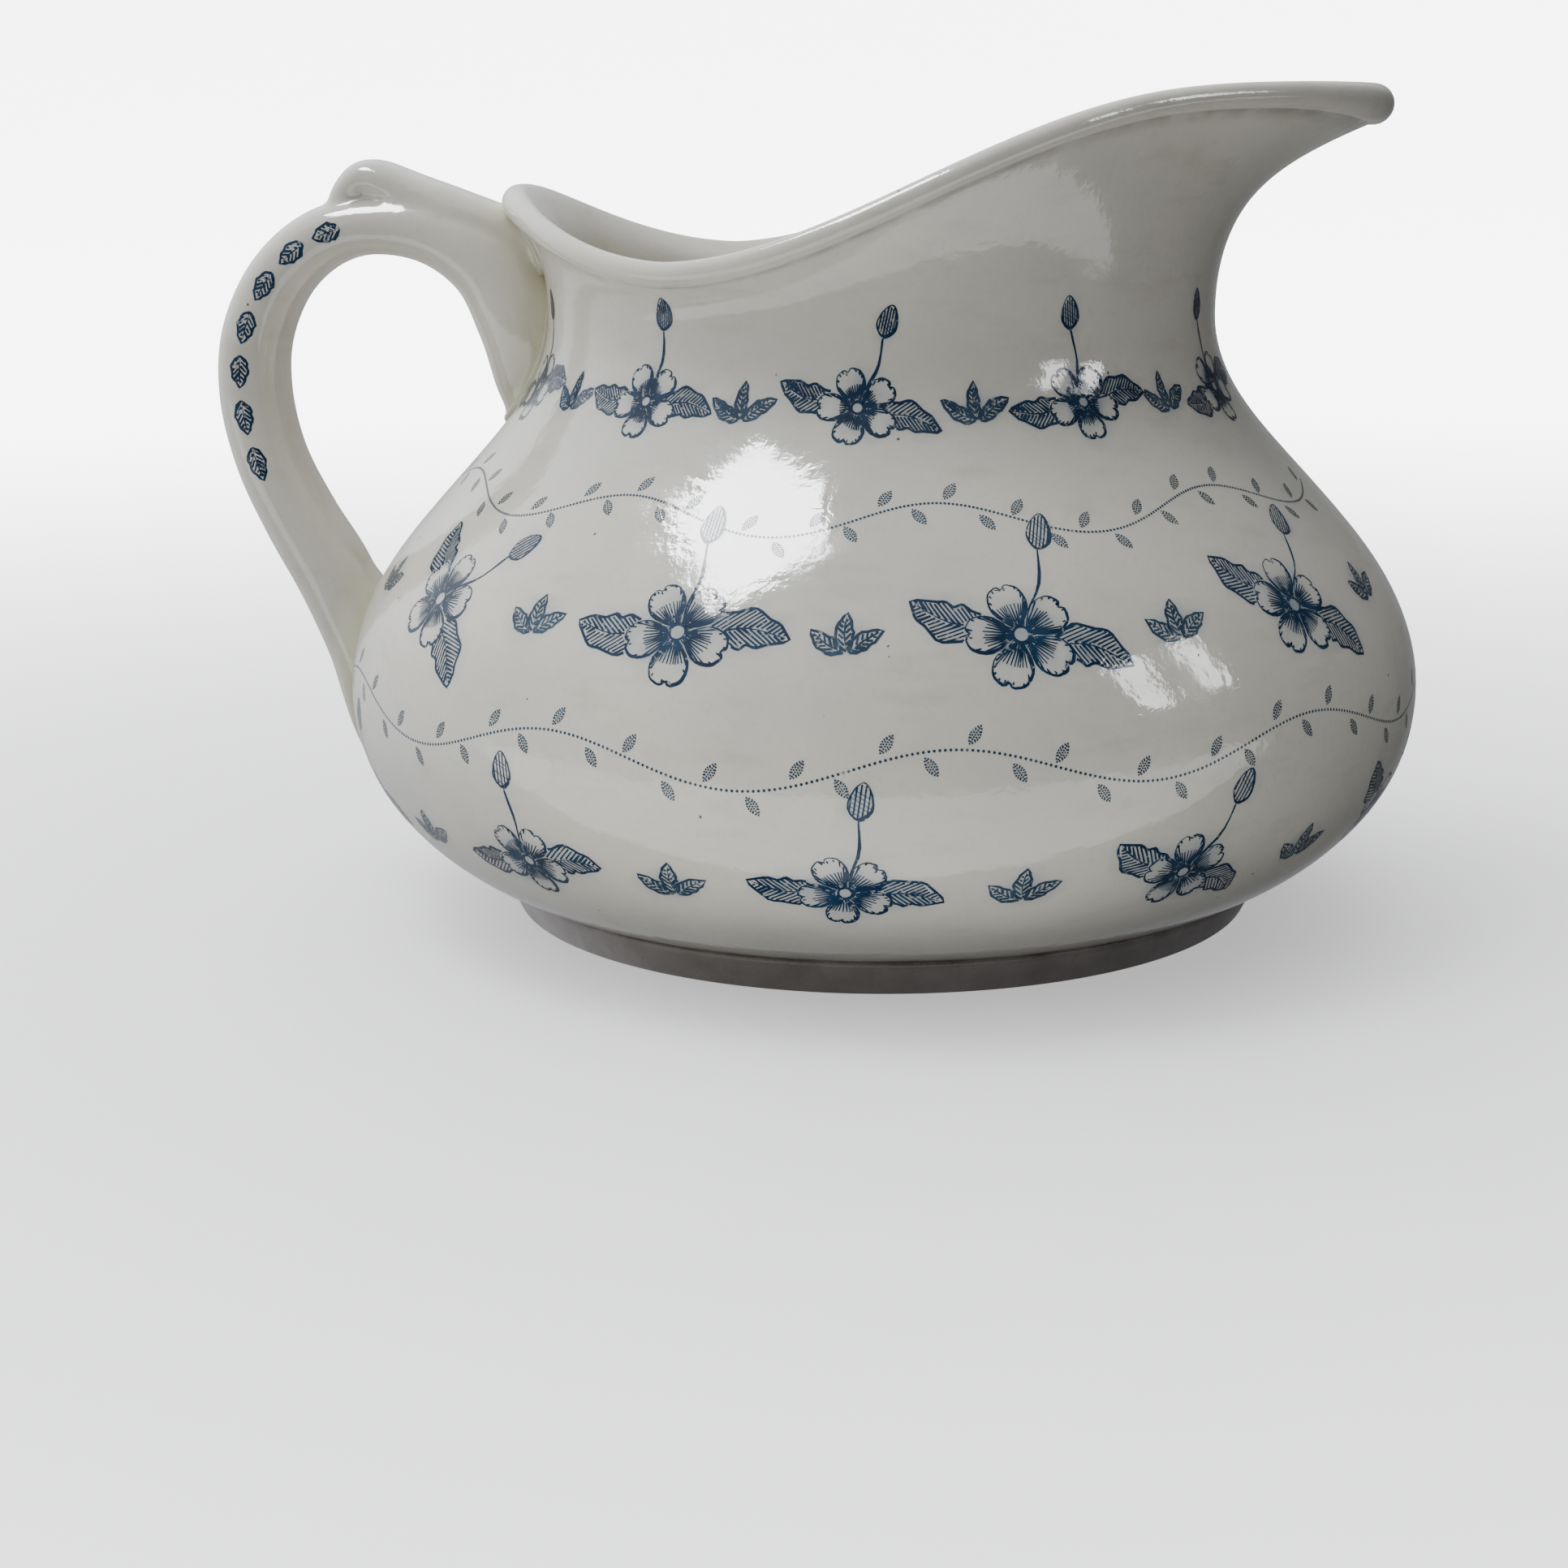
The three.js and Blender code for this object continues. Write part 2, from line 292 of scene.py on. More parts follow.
def lathe(column, count):
    """Points and faces of a closed form from one column of points for each angle."""
    angles = np.arange(count) / count * 2 * math.pi - math.pi
    grid = [column(angle) for angle in angles]
    rows = len(grid[0])
    ring = np.array(grid)
    points = np.empty((count, rows, 3))
    points[..., 0] = ring[..., 0] * np.cos(angles)[:, None]
    points[..., 1] = ring[..., 0] * np.sin(angles)[:, None]
    points[..., 2] = ring[..., 1]
    middle = points[:, 1:-1].reshape(-1, 3)
    inner_rows = rows - 2
    low, high = len(middle), len(middle) + 1
    faces = []
    for i in range(count):
        here, there = i * inner_rows, (i + 1) % count * inner_rows
        faces.append((low, there, here))
        for j in range(inner_rows - 1):
            faces.append((here + j, there + j, there + j + 1, here + j + 1))
        faces.append((here + inner_rows - 1, there + inner_rows - 1, high))
    ends = [points[:, 0].mean(0), points[:, -1].mean(0)]
    return np.vstack([middle, ends]), faces


# ---------------------------------------------------------------- materials

IVORY = (0.69, 0.66, 0.56)
GREY_CREAM = (0.61, 0.59, 0.515)
TEA_STAIN = (0.45, 0.405, 0.31)
JOINT_YELLOW = (0.50, 0.49, 0.30)
INK_HAZE = (0.060, 0.150, 0.25)
GLAZE_WAVE = 0.00035  # metres, the slow unevenness of the glaze
GLAZE_PEEL = 0.00005


class Finish:
    """A node material being put together."""

    def __init__(self, name):
        self.material = bpy.data.materials.new(name)
        self.material.use_nodes = True
        self.tree = self.material.node_tree
        self.shader = self.tree.nodes["Principled BSDF"]
        self.place = self.node("ShaderNodeTexCoord").outputs["Object"]

    def node(self, kind, **settings):
        made = self.tree.nodes.new(kind)
        for key, value in settings.items():
            setattr(made, key, value)
        return made

    def link(self, source, target):
        self.tree.links.new(source, target)

    def noise(self, scale, detail=3.0, roughness=0.5, stretch=(1, 1, 1)):
        """Noise about 1 / scale metres across."""
        mapping = self.node("ShaderNodeMapping")
        mapping.inputs["Scale"].default_value = stretch
        self.link(self.place, mapping.inputs["Vector"])
        made = self.node("ShaderNodeTexNoise")
        made.inputs["Scale"].default_value = scale
        made.inputs["Detail"].default_value = detail
        made.inputs["Roughness"].default_value = roughness
        self.link(mapping.outputs["Vector"], made.inputs["Vector"])
        return made.outputs["Fac"]

    def reach(self, value, low, high, to_low=0.0, to_high=1.0):
        made = self.node("ShaderNodeMapRange")
        made.interpolation_type = "SMOOTHSTEP"
        for key, number in zip(("From Min", "From Max", "To Min", "To Max"), (low, high, to_low, to_high)):
            made.inputs[key].default_value = number
        self.link(value, made.inputs["Value"])
        return made.outputs["Result"]

    def math(self, operation, a, b):
        made = self.node("ShaderNodeMath", operation=operation)
        for socket, value in zip(made.inputs, (a, b)):
            if isinstance(value, (int, float)):
                socket.default_value = value
            else:
                self.link(value, socket)
        return made.outputs["Value"]

    def blend(self, share, a, b, mode="MIX"):
        """Colour a turning into colour b as share goes from 0 to 1."""
        made = self.node("ShaderNodeMix", data_type="RGBA", blend_type=mode)
        self.put(share, made.inputs["Factor"])
        self.put(a, made.inputs[6])  # the colour pair of the mix node
        self.put(b, made.inputs[7])
        return made.outputs[2]

    def put(self, value, socket):
        if isinstance(value, bpy.types.NodeSocket):
            self.link(value, socket)
        elif isinstance(value, tuple):
            socket.default_value = (*value, 1.0)
        else:
            socket.default_value = value

    def attribute(self, name):
        return self.node("ShaderNodeAttribute", attribute_name=name).outputs["Fac"]

    def relief(self, height, distance, strength=1.0, under=None):
        made = self.node("ShaderNodeBump")
        made.inputs["Strength"].default_value = strength
        made.inputs["Distance"].default_value = distance
        self.link(height, made.inputs["Height"])
        if under:
            self.link(under, made.inputs["Normal"])
        return made.outputs["Normal"]

    def pinholes(self, scale, size, share):
        """Tiny specks, one at most in each cell about 1 / scale metres across."""
        cells = self.node("ShaderNodeTexVoronoi", feature="F1")
        cells.inputs["Scale"].default_value = scale
        self.link(self.place, cells.inputs["Vector"])
        near = self.reach(cells.outputs["Distance"], size * 0.5, size, 1.0, 0.0)
        chance = self.node("ShaderNodeSeparateColor")
        self.link(cells.outputs["Color"], chance.inputs["Color"])
        kept = self.math("GREATER_THAN", chance.outputs["Red"], 1 - share)
        return self.math("MULTIPLY", near, kept)


def glaze_finish(name, warm, cool, stain, gloss=(0.05, 0.13), joint_tint=None):
    """Old clear glaze over a cream body: slow drifts of tone, fine mottling, a few pinholes, and painted shade
    darkening creases and joints.
    """
    finish = Finish(name)
    drift = finish.reach(finish.noise(28, 4, 0.55), 0.35, 0.66)
    colour = finish.blend(drift, warm, cool)
    streak = finish.reach(finish.noise(90, 5, 0.6, (1, 1, 3.2)), 0.5, 0.78, 0.0, 0.32)
    colour = finish.blend(streak, colour, stain)
    grain = finish.reach(finish.noise(1100, 3, 0.6), 0.52, 0.72, 0.0, 0.14)
    colour = finish.blend(grain, colour, stain)
    # painted shade: creases, joints and the foot darkened towards a dark brown where a piece asks for it, mottled; on
    # the slip it is a little grime
    crease = finish.math("MULTIPLY", finish.attribute("crease_shade_and_grime"), finish.reach(finish.noise(240, 4), 0.25, 0.7, 0.35, 1.0))
    colour = finish.blend(crease, colour, (0.115, 0.098, 0.082))
    haze = finish.math("MULTIPLY", finish.attribute("haze"), finish.reach(finish.noise(180, 3), 0.2, 0.75, 0.45, 1.0))
    colour = finish.blend(haze, colour, INK_HAZE)
    if joint_tint:
        colour = finish.blend(finish.attribute("joint"), colour, joint_tint)
    specks = finish.pinholes(290, 0.06, 0.2)
    colour = finish.blend(specks, colour, (0.09, 0.075, 0.06))
    finish.put(colour, finish.shader.inputs["Base Color"])
    finish.put(finish.reach(finish.noise(150, 4), 0.3, 0.75, *gloss), finish.shader.inputs["Roughness"])
    wave = finish.relief(finish.noise(46, 2, 0.45), GLAZE_WAVE)
    peel = finish.relief(finish.noise(520, 3, 0.55), GLAZE_PEEL, under=wave)
    pits = finish.relief(specks, -0.00012, under=peel)
    finish.put(pits, finish.shader.inputs["Normal"])
    finish.shader.inputs["IOR"].default_value = 1.52
    finish.shader.inputs["Subsurface Weight"].default_value = 0.06
    finish.shader.inputs["Subsurface Radius"].default_value = (0.0014, 0.0011, 0.0008)
    finish.shader.inputs["Subsurface Scale"].default_value = 1.0
    return finish.material


def ink_finish(name, deep, thin):
    """Cobalt print under the same glaze, uneven where the transfer took less well."""
    finish = Finish(name)
    patch = finish.reach(finish.noise(260, 4, 0.6), 0.36, 0.7)
    colour = finish.blend(patch, deep, thin)
    worn = finish.reach(finish.noise(1500, 2, 0.5), 0.6, 0.75, 0.0, 0.45)
    colour = finish.blend(worn, colour, GREY_CREAM)
    finish.put(colour, finish.shader.inputs["Base Color"])
    finish.put(finish.reach(finish.noise(150, 4), 0.3, 0.75, 0.05, 0.13), finish.shader.inputs["Roughness"])
    wave = finish.relief(finish.noise(46, 2, 0.45), GLAZE_WAVE)
    finish.put(finish.relief(finish.noise(520, 3, 0.55), GLAZE_PEEL, under=wave), finish.shader.inputs["Normal"])
    finish.shader.inputs["IOR"].default_value = 1.52
    finish.shader.inputs["Specular IOR Level"].default_value = 0.2  # ink bites the glaze duller
    return finish.material


def backdrop_finish():
    """Plain pale paper that glows, painted light that grows from dim near the jug to bright further out."""
    finish = Finish("pale_paper")
    colour = finish.blend(finish.reach(finish.noise(3, 2), 0.3, 0.7), (0.86, 0.86, 0.865), (0.83, 0.83, 0.84))
    finish.put(colour, finish.shader.inputs["Base Color"])
    finish.put(finish.reach(finish.noise(60, 2), 0.3, 0.7, 0.6, 0.75), finish.shader.inputs["Roughness"])
    away = finish.node("ShaderNodeVectorMath", operation="LENGTH")
    finish.link(finish.place, away.inputs[0])
    # painted light: the paper's own glow, dim by the jug and bright far out
    glow = finish.reach(away.outputs["Value"], 0.05, 0.75, 0.55, 6.0)
    finish.put(glow, finish.shader.inputs["Emission Strength"])
    finish.shader.inputs["Emission Color"].default_value = (1, 1, 1, 1)
    return finish.material


# ---------------------------------------------------------------- pieces


def make_body():
    points, faces = lathe(shell_column, COLUMNS)
    made = add_mesh("cast_body", points, faces)
    radius = np.hypot(points[:, 0], points[:, 1])
    # painted shade: a dark line in the crease under the rim's bead, and another round the outside where the body
    # meets the foot
    bead_crease_shade = np.zeros(len(points))
    rows = len(shell_column(0.0)) - 2
    crease_row = FLOOR_STEPS - 2 + BELLY_STEPS + SHOULDER_STEPS + LIP_STEPS
    index = np.arange(COLUMNS * rows) % rows
    bead_crease_shade[: COLUMNS * rows] = np.exp(-((index - crease_row) / 1.3) ** 2) * 0.55
    inside = (radius < NECK_RADIUS - 3) & (points[:, 2] > BASE_HEIGHT + 1)
    foot_join_shade = np.exp(-((points[:, 2] - BASE_HEIGHT) / 0.7) ** 2) * (radius > BASE_RADIUS - 3) * 0.8
    paint(made, "crease_shade_and_grime", np.clip(bead_crease_shade + foot_join_shade * ~inside, 0, 1))
    return made


def outer_tree():
    """The pot's outside alone, for telling how far a point stands out of it."""

    def column(angle):
        points, outward, _, arc = wall_outline(angle)
        points = points + outward * wobble(angle, points[:, 1])[:, None]
        return np.vstack([(0, BASE_HEIGHT), points, arc[: BEAD_STEPS // 2], (0, arc[BEAD_STEPS // 2][1])])

    points, faces = lathe(column, 180)
    return BVHTree.FromPolygons(points.tolist(), faces)


def stand_out(tree, points):
    """How far each point stands out of the pot, less than 0 inside it."""
    found = np.empty(len(points))
    for i, point in enumerate(points):
        place, normal, _, distance = tree.find_nearest(point)
        found[i] = math.copysign(distance, (Vector(point) - place).dot(normal))
    return found


def squarer(value):
    return np.sign(value) * np.abs(value) ** EDGE_SQUARENESS


def bent_rod(stations):
    """A grid of points on a bent rod of clay, round outside and flatter towards the fingers."""
    t = np.linspace(0, 1, ROD_STEPS)
    line = through(stations, t)
    tangent = np.gradient(line[:, :2], axis=0)
    tangent /= np.linalg.norm(tangent, axis=1, keepdims=True)
    turn = np.arange(ROD_SIDES) / ROD_SIDES * 2 * math.pi
    outward = np.where(np.cos(turn) > 0, np.cos(turn), squarer(np.cos(turn)))
    thick = line[:, 2, None] * outward
    wide = line[:, 3, None] * squarer(np.sin(turn))
    grid = np.empty((ROD_STEPS, ROD_SIDES, 3))
    grid[..., 0] = line[:, 0, None] + tangent[:, 1, None] * thick
    grid[..., 1] = wide
    grid[..., 2] = line[:, 1, None] - tangent[:, 0, None] * thick
    return grid


def rod_faces(start):
    faces = [tuple(start + np.arange(ROD_SIDES))]
    faces.append(tuple(start + (ROD_STEPS - 1) * ROD_SIDES + np.arange(ROD_SIDES)[::-1]))
    for i in range(ROD_STEPS - 1):
        for j in range(ROD_SIDES):
            k = (j + 1) % ROD_SIDES
            here, ahead = start + i * ROD_SIDES, start + (i + 1) * ROD_SIDES
            faces.append((here + j, ahead + j, ahead + k, here + k))
    return faces


def make_handle(tree):
    """The loop and the thumb rest worked into one another, with their roots drawn on to the pot."""
    rods = [bent_rod(HANDLE_STATIONS), bent_rod(THUMB_REST_STATIONS)]
    points = np.vstack([rod.reshape(-1, 3) for rod in rods])
    faces = rod_faces(0) + rod_faces(ROD_STEPS * ROD_SIDES)
    rough = add_mesh("rough_handle", points, faces)
    remesh = rough.modifiers.new("clay", "REMESH")
    remesh.mode = "VOXEL"
    remesh.voxel_size = ROD_VOXEL * MM
    smooth = rough.modifiers.new("sponged", "SMOOTH")
    smooth.factor = 0.5
    smooth.iterations = 5
    made = baked(rough, "glazed_handle")
    points = places_of(made)
    normals = np.empty(len(points) * 3)
    made.data.vertices.foreach_get("normal", normals)
    normals = normals.reshape(-1, 3)
    proud = stand_out(tree, points)
    spread = np.where(points[:, 2] > 55, 1.6, 4.2)
    push = spread * 0.42 * np.clip(1 - np.maximum(proud, 0) / spread, 0, 1) ** 2
    points = points + normals * push[:, None]
    sunk = np.maximum(-1.4 - stand_out(tree, points), 0)
    radius = np.hypot(points[:, 0], points[:, 1])
    points[:, :2] *= ((radius + sunk) / radius)[:, None]
    put_places(made, points)
    # painted shade where the upper roots of the handle meet the pot
    paint(made, "crease_shade_and_grime", np.clip(1 - np.abs(proud) / 0.8, 0, 1) * (points[:, 2] > 50) * 0.5)
    paint(made, "joint", np.clip(1 - proud / 7, 0, 1) ** 1.5 * 0.75)
    return made


def root_loop(tree, rod, from_end):
    """Where a rod comes out of the pot, as one closed loop of points."""
    stations = rod[::-1] if from_end else rod
    loop = []
    for side in range(ROD_SIDES):
        line = stations[: ROD_STEPS * 3 // 4, side]
        proud = stand_out(tree, line)
        inside = np.nonzero(proud[:-1] * proud[1:] <= 0)[0]
        step = inside[-1] if len(inside) else 0
        share = proud[step] / (proud[step] - proud[step + 1]) if len(inside) else 0
        loop.append(line[step] + share * (line[step + 1] - line[step]))
    return np.array(loop)


def input_of(tree, name, kind, value=None):
    socket = tree.interface.new_socket(name=name, in_out="INPUT", socket_type=kind)
    if value is not None:
        socket.default_value = value
    return socket.identifier


def slip_bead_tree(material):
    """A round bead of slip swept along a path, finished in the slip's own glaze."""
    tree = bpy.data.node_groups.new("slip_bead", "GeometryNodeTree")
    sockets = {
        "Path": input_of(tree, "Path", "NodeSocketGeometry"),
        "Bead radius": input_of(tree, "Bead radius", "NodeSocketFloat", 0.7 * MM),
        "Sides": input_of(tree, "Sides", "NodeSocketInt", 12),
    }
    tree.interface.new_socket(name="Geometry", in_out="OUTPUT", socket_type="NodeSocketGeometry")
    add, link = tree.nodes.new, tree.links.new
    start, end = add("NodeGroupInput"), add("NodeGroupOutput")
    path, circle = add("GeometryNodeMeshToCurve"), add("GeometryNodeCurvePrimitiveCircle")
    sweep, merge = add("GeometryNodeCurveToMesh"), add("GeometryNodeRealizeInstances")
    finish = add("GeometryNodeSetMaterial")
    finish.inputs["Material"].default_value = material
    link(start.outputs["Path"], path.inputs["Mesh"])
    link(start.outputs["Bead radius"], circle.inputs["Radius"])
    link(start.outputs["Sides"], circle.inputs["Resolution"])
    link(path.outputs["Curve"], sweep.inputs["Curve"])
    link(circle.outputs["Curve"], sweep.inputs["Profile Curve"])
    link(sweep.outputs["Mesh"], merge.inputs["Geometry"])
    link(merge.outputs["Geometry"], finish.inputs["Geometry"])
    link(finish.outputs["Geometry"], end.inputs["Geometry"])
    return tree, sockets


def make_slip(name, loops, radius, tree, sockets):
    points, edges = [], []
    for loop in loops:
        start = len(points)
        points.extend(loop.tolist())
        edges.extend((start + i, start + (i + 1) % len(loop)) for i in range(len(loop)))
    path = add_mesh(name + "_path", points, [])
    path.data.clear_geometry()
    places = (np.asarray(points) + (AXIS_X, 0, 0)) * MM
    path.data.from_pydata(places.tolist(), edges, [])
    sweep = path.modifiers.new("sweep", "NODES")
    sweep.node_group = tree
    sweep[sockets["Bead radius"]] = radius * MM
    return baked(path, name)


def foot_tree(material):
    """A ring with a four-cornered section and rounded edges, turned about the pot's axis."""
    tree = bpy.data.node_groups.new("turned_foot", "GeometryNodeTree")
    names = {
        "Axis": 0.0,
        "Table radius": FOOT_RADIUS * MM,
        "Top radius": FOOT_TOP_RADIUS * MM,
        "Inner radius": FOOT_INNER_RADIUS * MM,
        "Height": FOOT_HEIGHT * MM,
        "Edge round": FOOT_ROUND * MM,
    }
    sockets = {name: input_of(tree, name, "NodeSocketFloat", value) for name, value in names.items()}
    tree.interface.new_socket(name="Geometry", in_out="OUTPUT", socket_type="NodeSocketGeometry")
    add, link = tree.nodes.new, tree.links.new
    start, end = add("NodeGroupInput"), add("NodeGroupOutput")
    section = add("GeometryNodeCurvePrimitiveQuadrilateral")
    section.mode = "POINTS"
    corners = [("Inner radius", None), ("Table radius", None), ("Top radius", "Height"), ("Inner radius", "Height")]
    for number, (radius, height) in enumerate(corners, 1):
        corner = add("ShaderNodeCombineXYZ")
        link(start.outputs[radius], corner.inputs["X"])
        if height:
            up = add("ShaderNodeMath")
            up.operation = "MULTIPLY"
            up.inputs[1].default_value = -1  # a section's y comes out pointing down
            link(start.outputs[height], up.inputs[0])
            link(up.outputs["Value"], corner.inputs["Y"])
        link(corner.outputs["Vector"], section.inputs[f"Point {number}"])
    rounded = add("GeometryNodeFilletCurve")
    rounded.mode = "POLY"
    rounded.inputs["Count"].default_value = 6
    link(section.outputs["Curve"], rounded.inputs["Curve"])
    link(start.outputs["Edge round"], rounded.inputs["Radius"])
    circle = add("GeometryNodeCurvePrimitiveCircle")
    circle.inputs["Resolution"].default_value = COLUMNS
    circle.inputs["Radius"].default_value = 1e-6
    sweep = add("GeometryNodeCurveToMesh")
    link(circle.outputs["Curve"], sweep.inputs["Curve"])
    link(rounded.outputs["Curve"], sweep.inputs["Profile Curve"])
    shift, place = add("ShaderNodeCombineXYZ"), add("GeometryNodeTransform")
    link(start.outputs["Axis"], shift.inputs["X"])
    link(sweep.outputs["Mesh"], place.inputs["Geometry"])
    link(shift.outputs["Vector"], place.inputs["Translation"])
    merge, finish = add("GeometryNodeRealizeInstances"), add("GeometryNodeSetMaterial")
    finish.inputs["Material"].default_value = material
    link(place.outputs["Geometry"], merge.inputs["Geometry"])
    link(merge.outputs["Geometry"], finish.inputs["Geometry"])
    link(finish.outputs["Geometry"], end.inputs["Geometry"])
    return tree, sockets


def make_foot(material):
    tree, sockets = foot_tree(material)
    seed = bpy.data.objects.new("foot_seed", bpy.data.meshes.new("foot_seed"))
    bpy.context.scene.collection.objects.link(seed)
    turn = seed.modifiers.new("turn", "NODES")
    turn.node_group = tree
    turn[sockets["Axis"]] = AXIS_X * MM
    turn[sockets["Height"]] = BASE_HEIGHT * MM
    made = baked(seed, "turned_foot")
    face_out(made)
    points = places_of(made)
    # painted shade over the whole foot, deeper towards its top under the body
    paint(made, "crease_shade_and_grime", 0.35 + 0.5 * smoothstep(points[:, 2], 3.2, BASE_HEIGHT))
    return made


def finished(made, slot, material, *nodes):
    """The last calls on a piece: its finish, the body it rides on and what it stands for."""
    made.data.materials.clear()
    made.data.materials.append(material)
    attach(made, "root")
    if nodes:
        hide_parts(*nodes)


# ---------------------------------------------------------------- the blue print

# The print is drawn on a flat sheet: x runs round the pot from the middle of its side towards the
# spout, y runs up the wall from the foot, both in millimetres.
SHEET_RADIUS = 60  # x on the sheet is this many millimetres for each radian round the pot
HATCH_PITCH = 0.42
HATCH_WIDTH = 0.115
OUTLINE_WIDTH = 0.17
SAMPLE = 0.35
LIFT = 0.03
chance = np.random.default_rng(7)


def wall_track():
    """Length up the outer wall, radius and height, at the middle of the side."""
    points = wall_outline(-math.pi / 2)[0]
    lengths = np.concatenate([[0], np.cumsum(np.hypot(*np.diff(points, axis=0).T))])
    return lengths, points[:, 0], points[:, 1]


TRACK_LENGTH, TRACK_RADIUS, TRACK_HEIGHT = wall_track()


def evenly(points, step, closed=False):
    """A smooth line through a few points, cut into equal steps."""
    rows = np.asarray(points, float)
    if closed:
        rows = np.vstack([rows, rows[:1]])
    if len(rows) > 2:
        ends = [rows[-2], rows[1]] if closed else [2 * rows[0] - rows[1], 2 * rows[-1] - rows[-2]]
        padded = np.vstack([ends[0], rows, ends[1]])
        f = np.linspace(0, 1, 9)[:-1, None]
        pieces = []
        for p, q, r, s in zip(padded, padded[1:], padded[2:], padded[3:]):
            cubic = (2 * p - 5 * q + 4 * r - s) * f**2 + (3 * q - p - 3 * r + s) * f**3
            pieces.append(0.5 * (2 * q + (r - p) * f + cubic))
        rows = np.vstack([*pieces, rows[-1]])
    lengths = np.concatenate([[0], np.cumsum(np.hypot(*np.diff(rows, axis=0).T))])
    count = max(2, int(math.ceil(lengths[-1] / step)) + 1)
    at = np.linspace(0, lengths[-1], count)
    return np.column_stack([np.interp(at, lengths, rows[:, 0]), np.interp(at, lengths, rows[:, 1])])


def within(points, outline):
    """Which points lie inside a closed outline."""
    x, y = points[:, 0, None], points[:, 1, None]
    ax, ay = outline[:, 0], outline[:, 1]
    bx, by = np.roll(ax, -1), np.roll(ay, -1)
    spans = (ay > y) != (by > y)
    cross = ax + (y - ay) * (bx - ax) / np.where(by == ay, 1e-9, by - ay)
    return (np.sum(spans & (x < cross), axis=1) % 2).astype(bool)


def edge_distance(points, outline):
    a = outline
    b = np.roll(outline, -1, axis=0)
    run = b - a
    span = np.maximum((run**2).sum(1), 1e-9)
    gap = points[:, None] - a
    t = np.clip((gap * run).sum(2) / span, 0, 1)
    return np.sqrt(((gap - t[..., None] * run) ** 2).sum(2)).min(1)


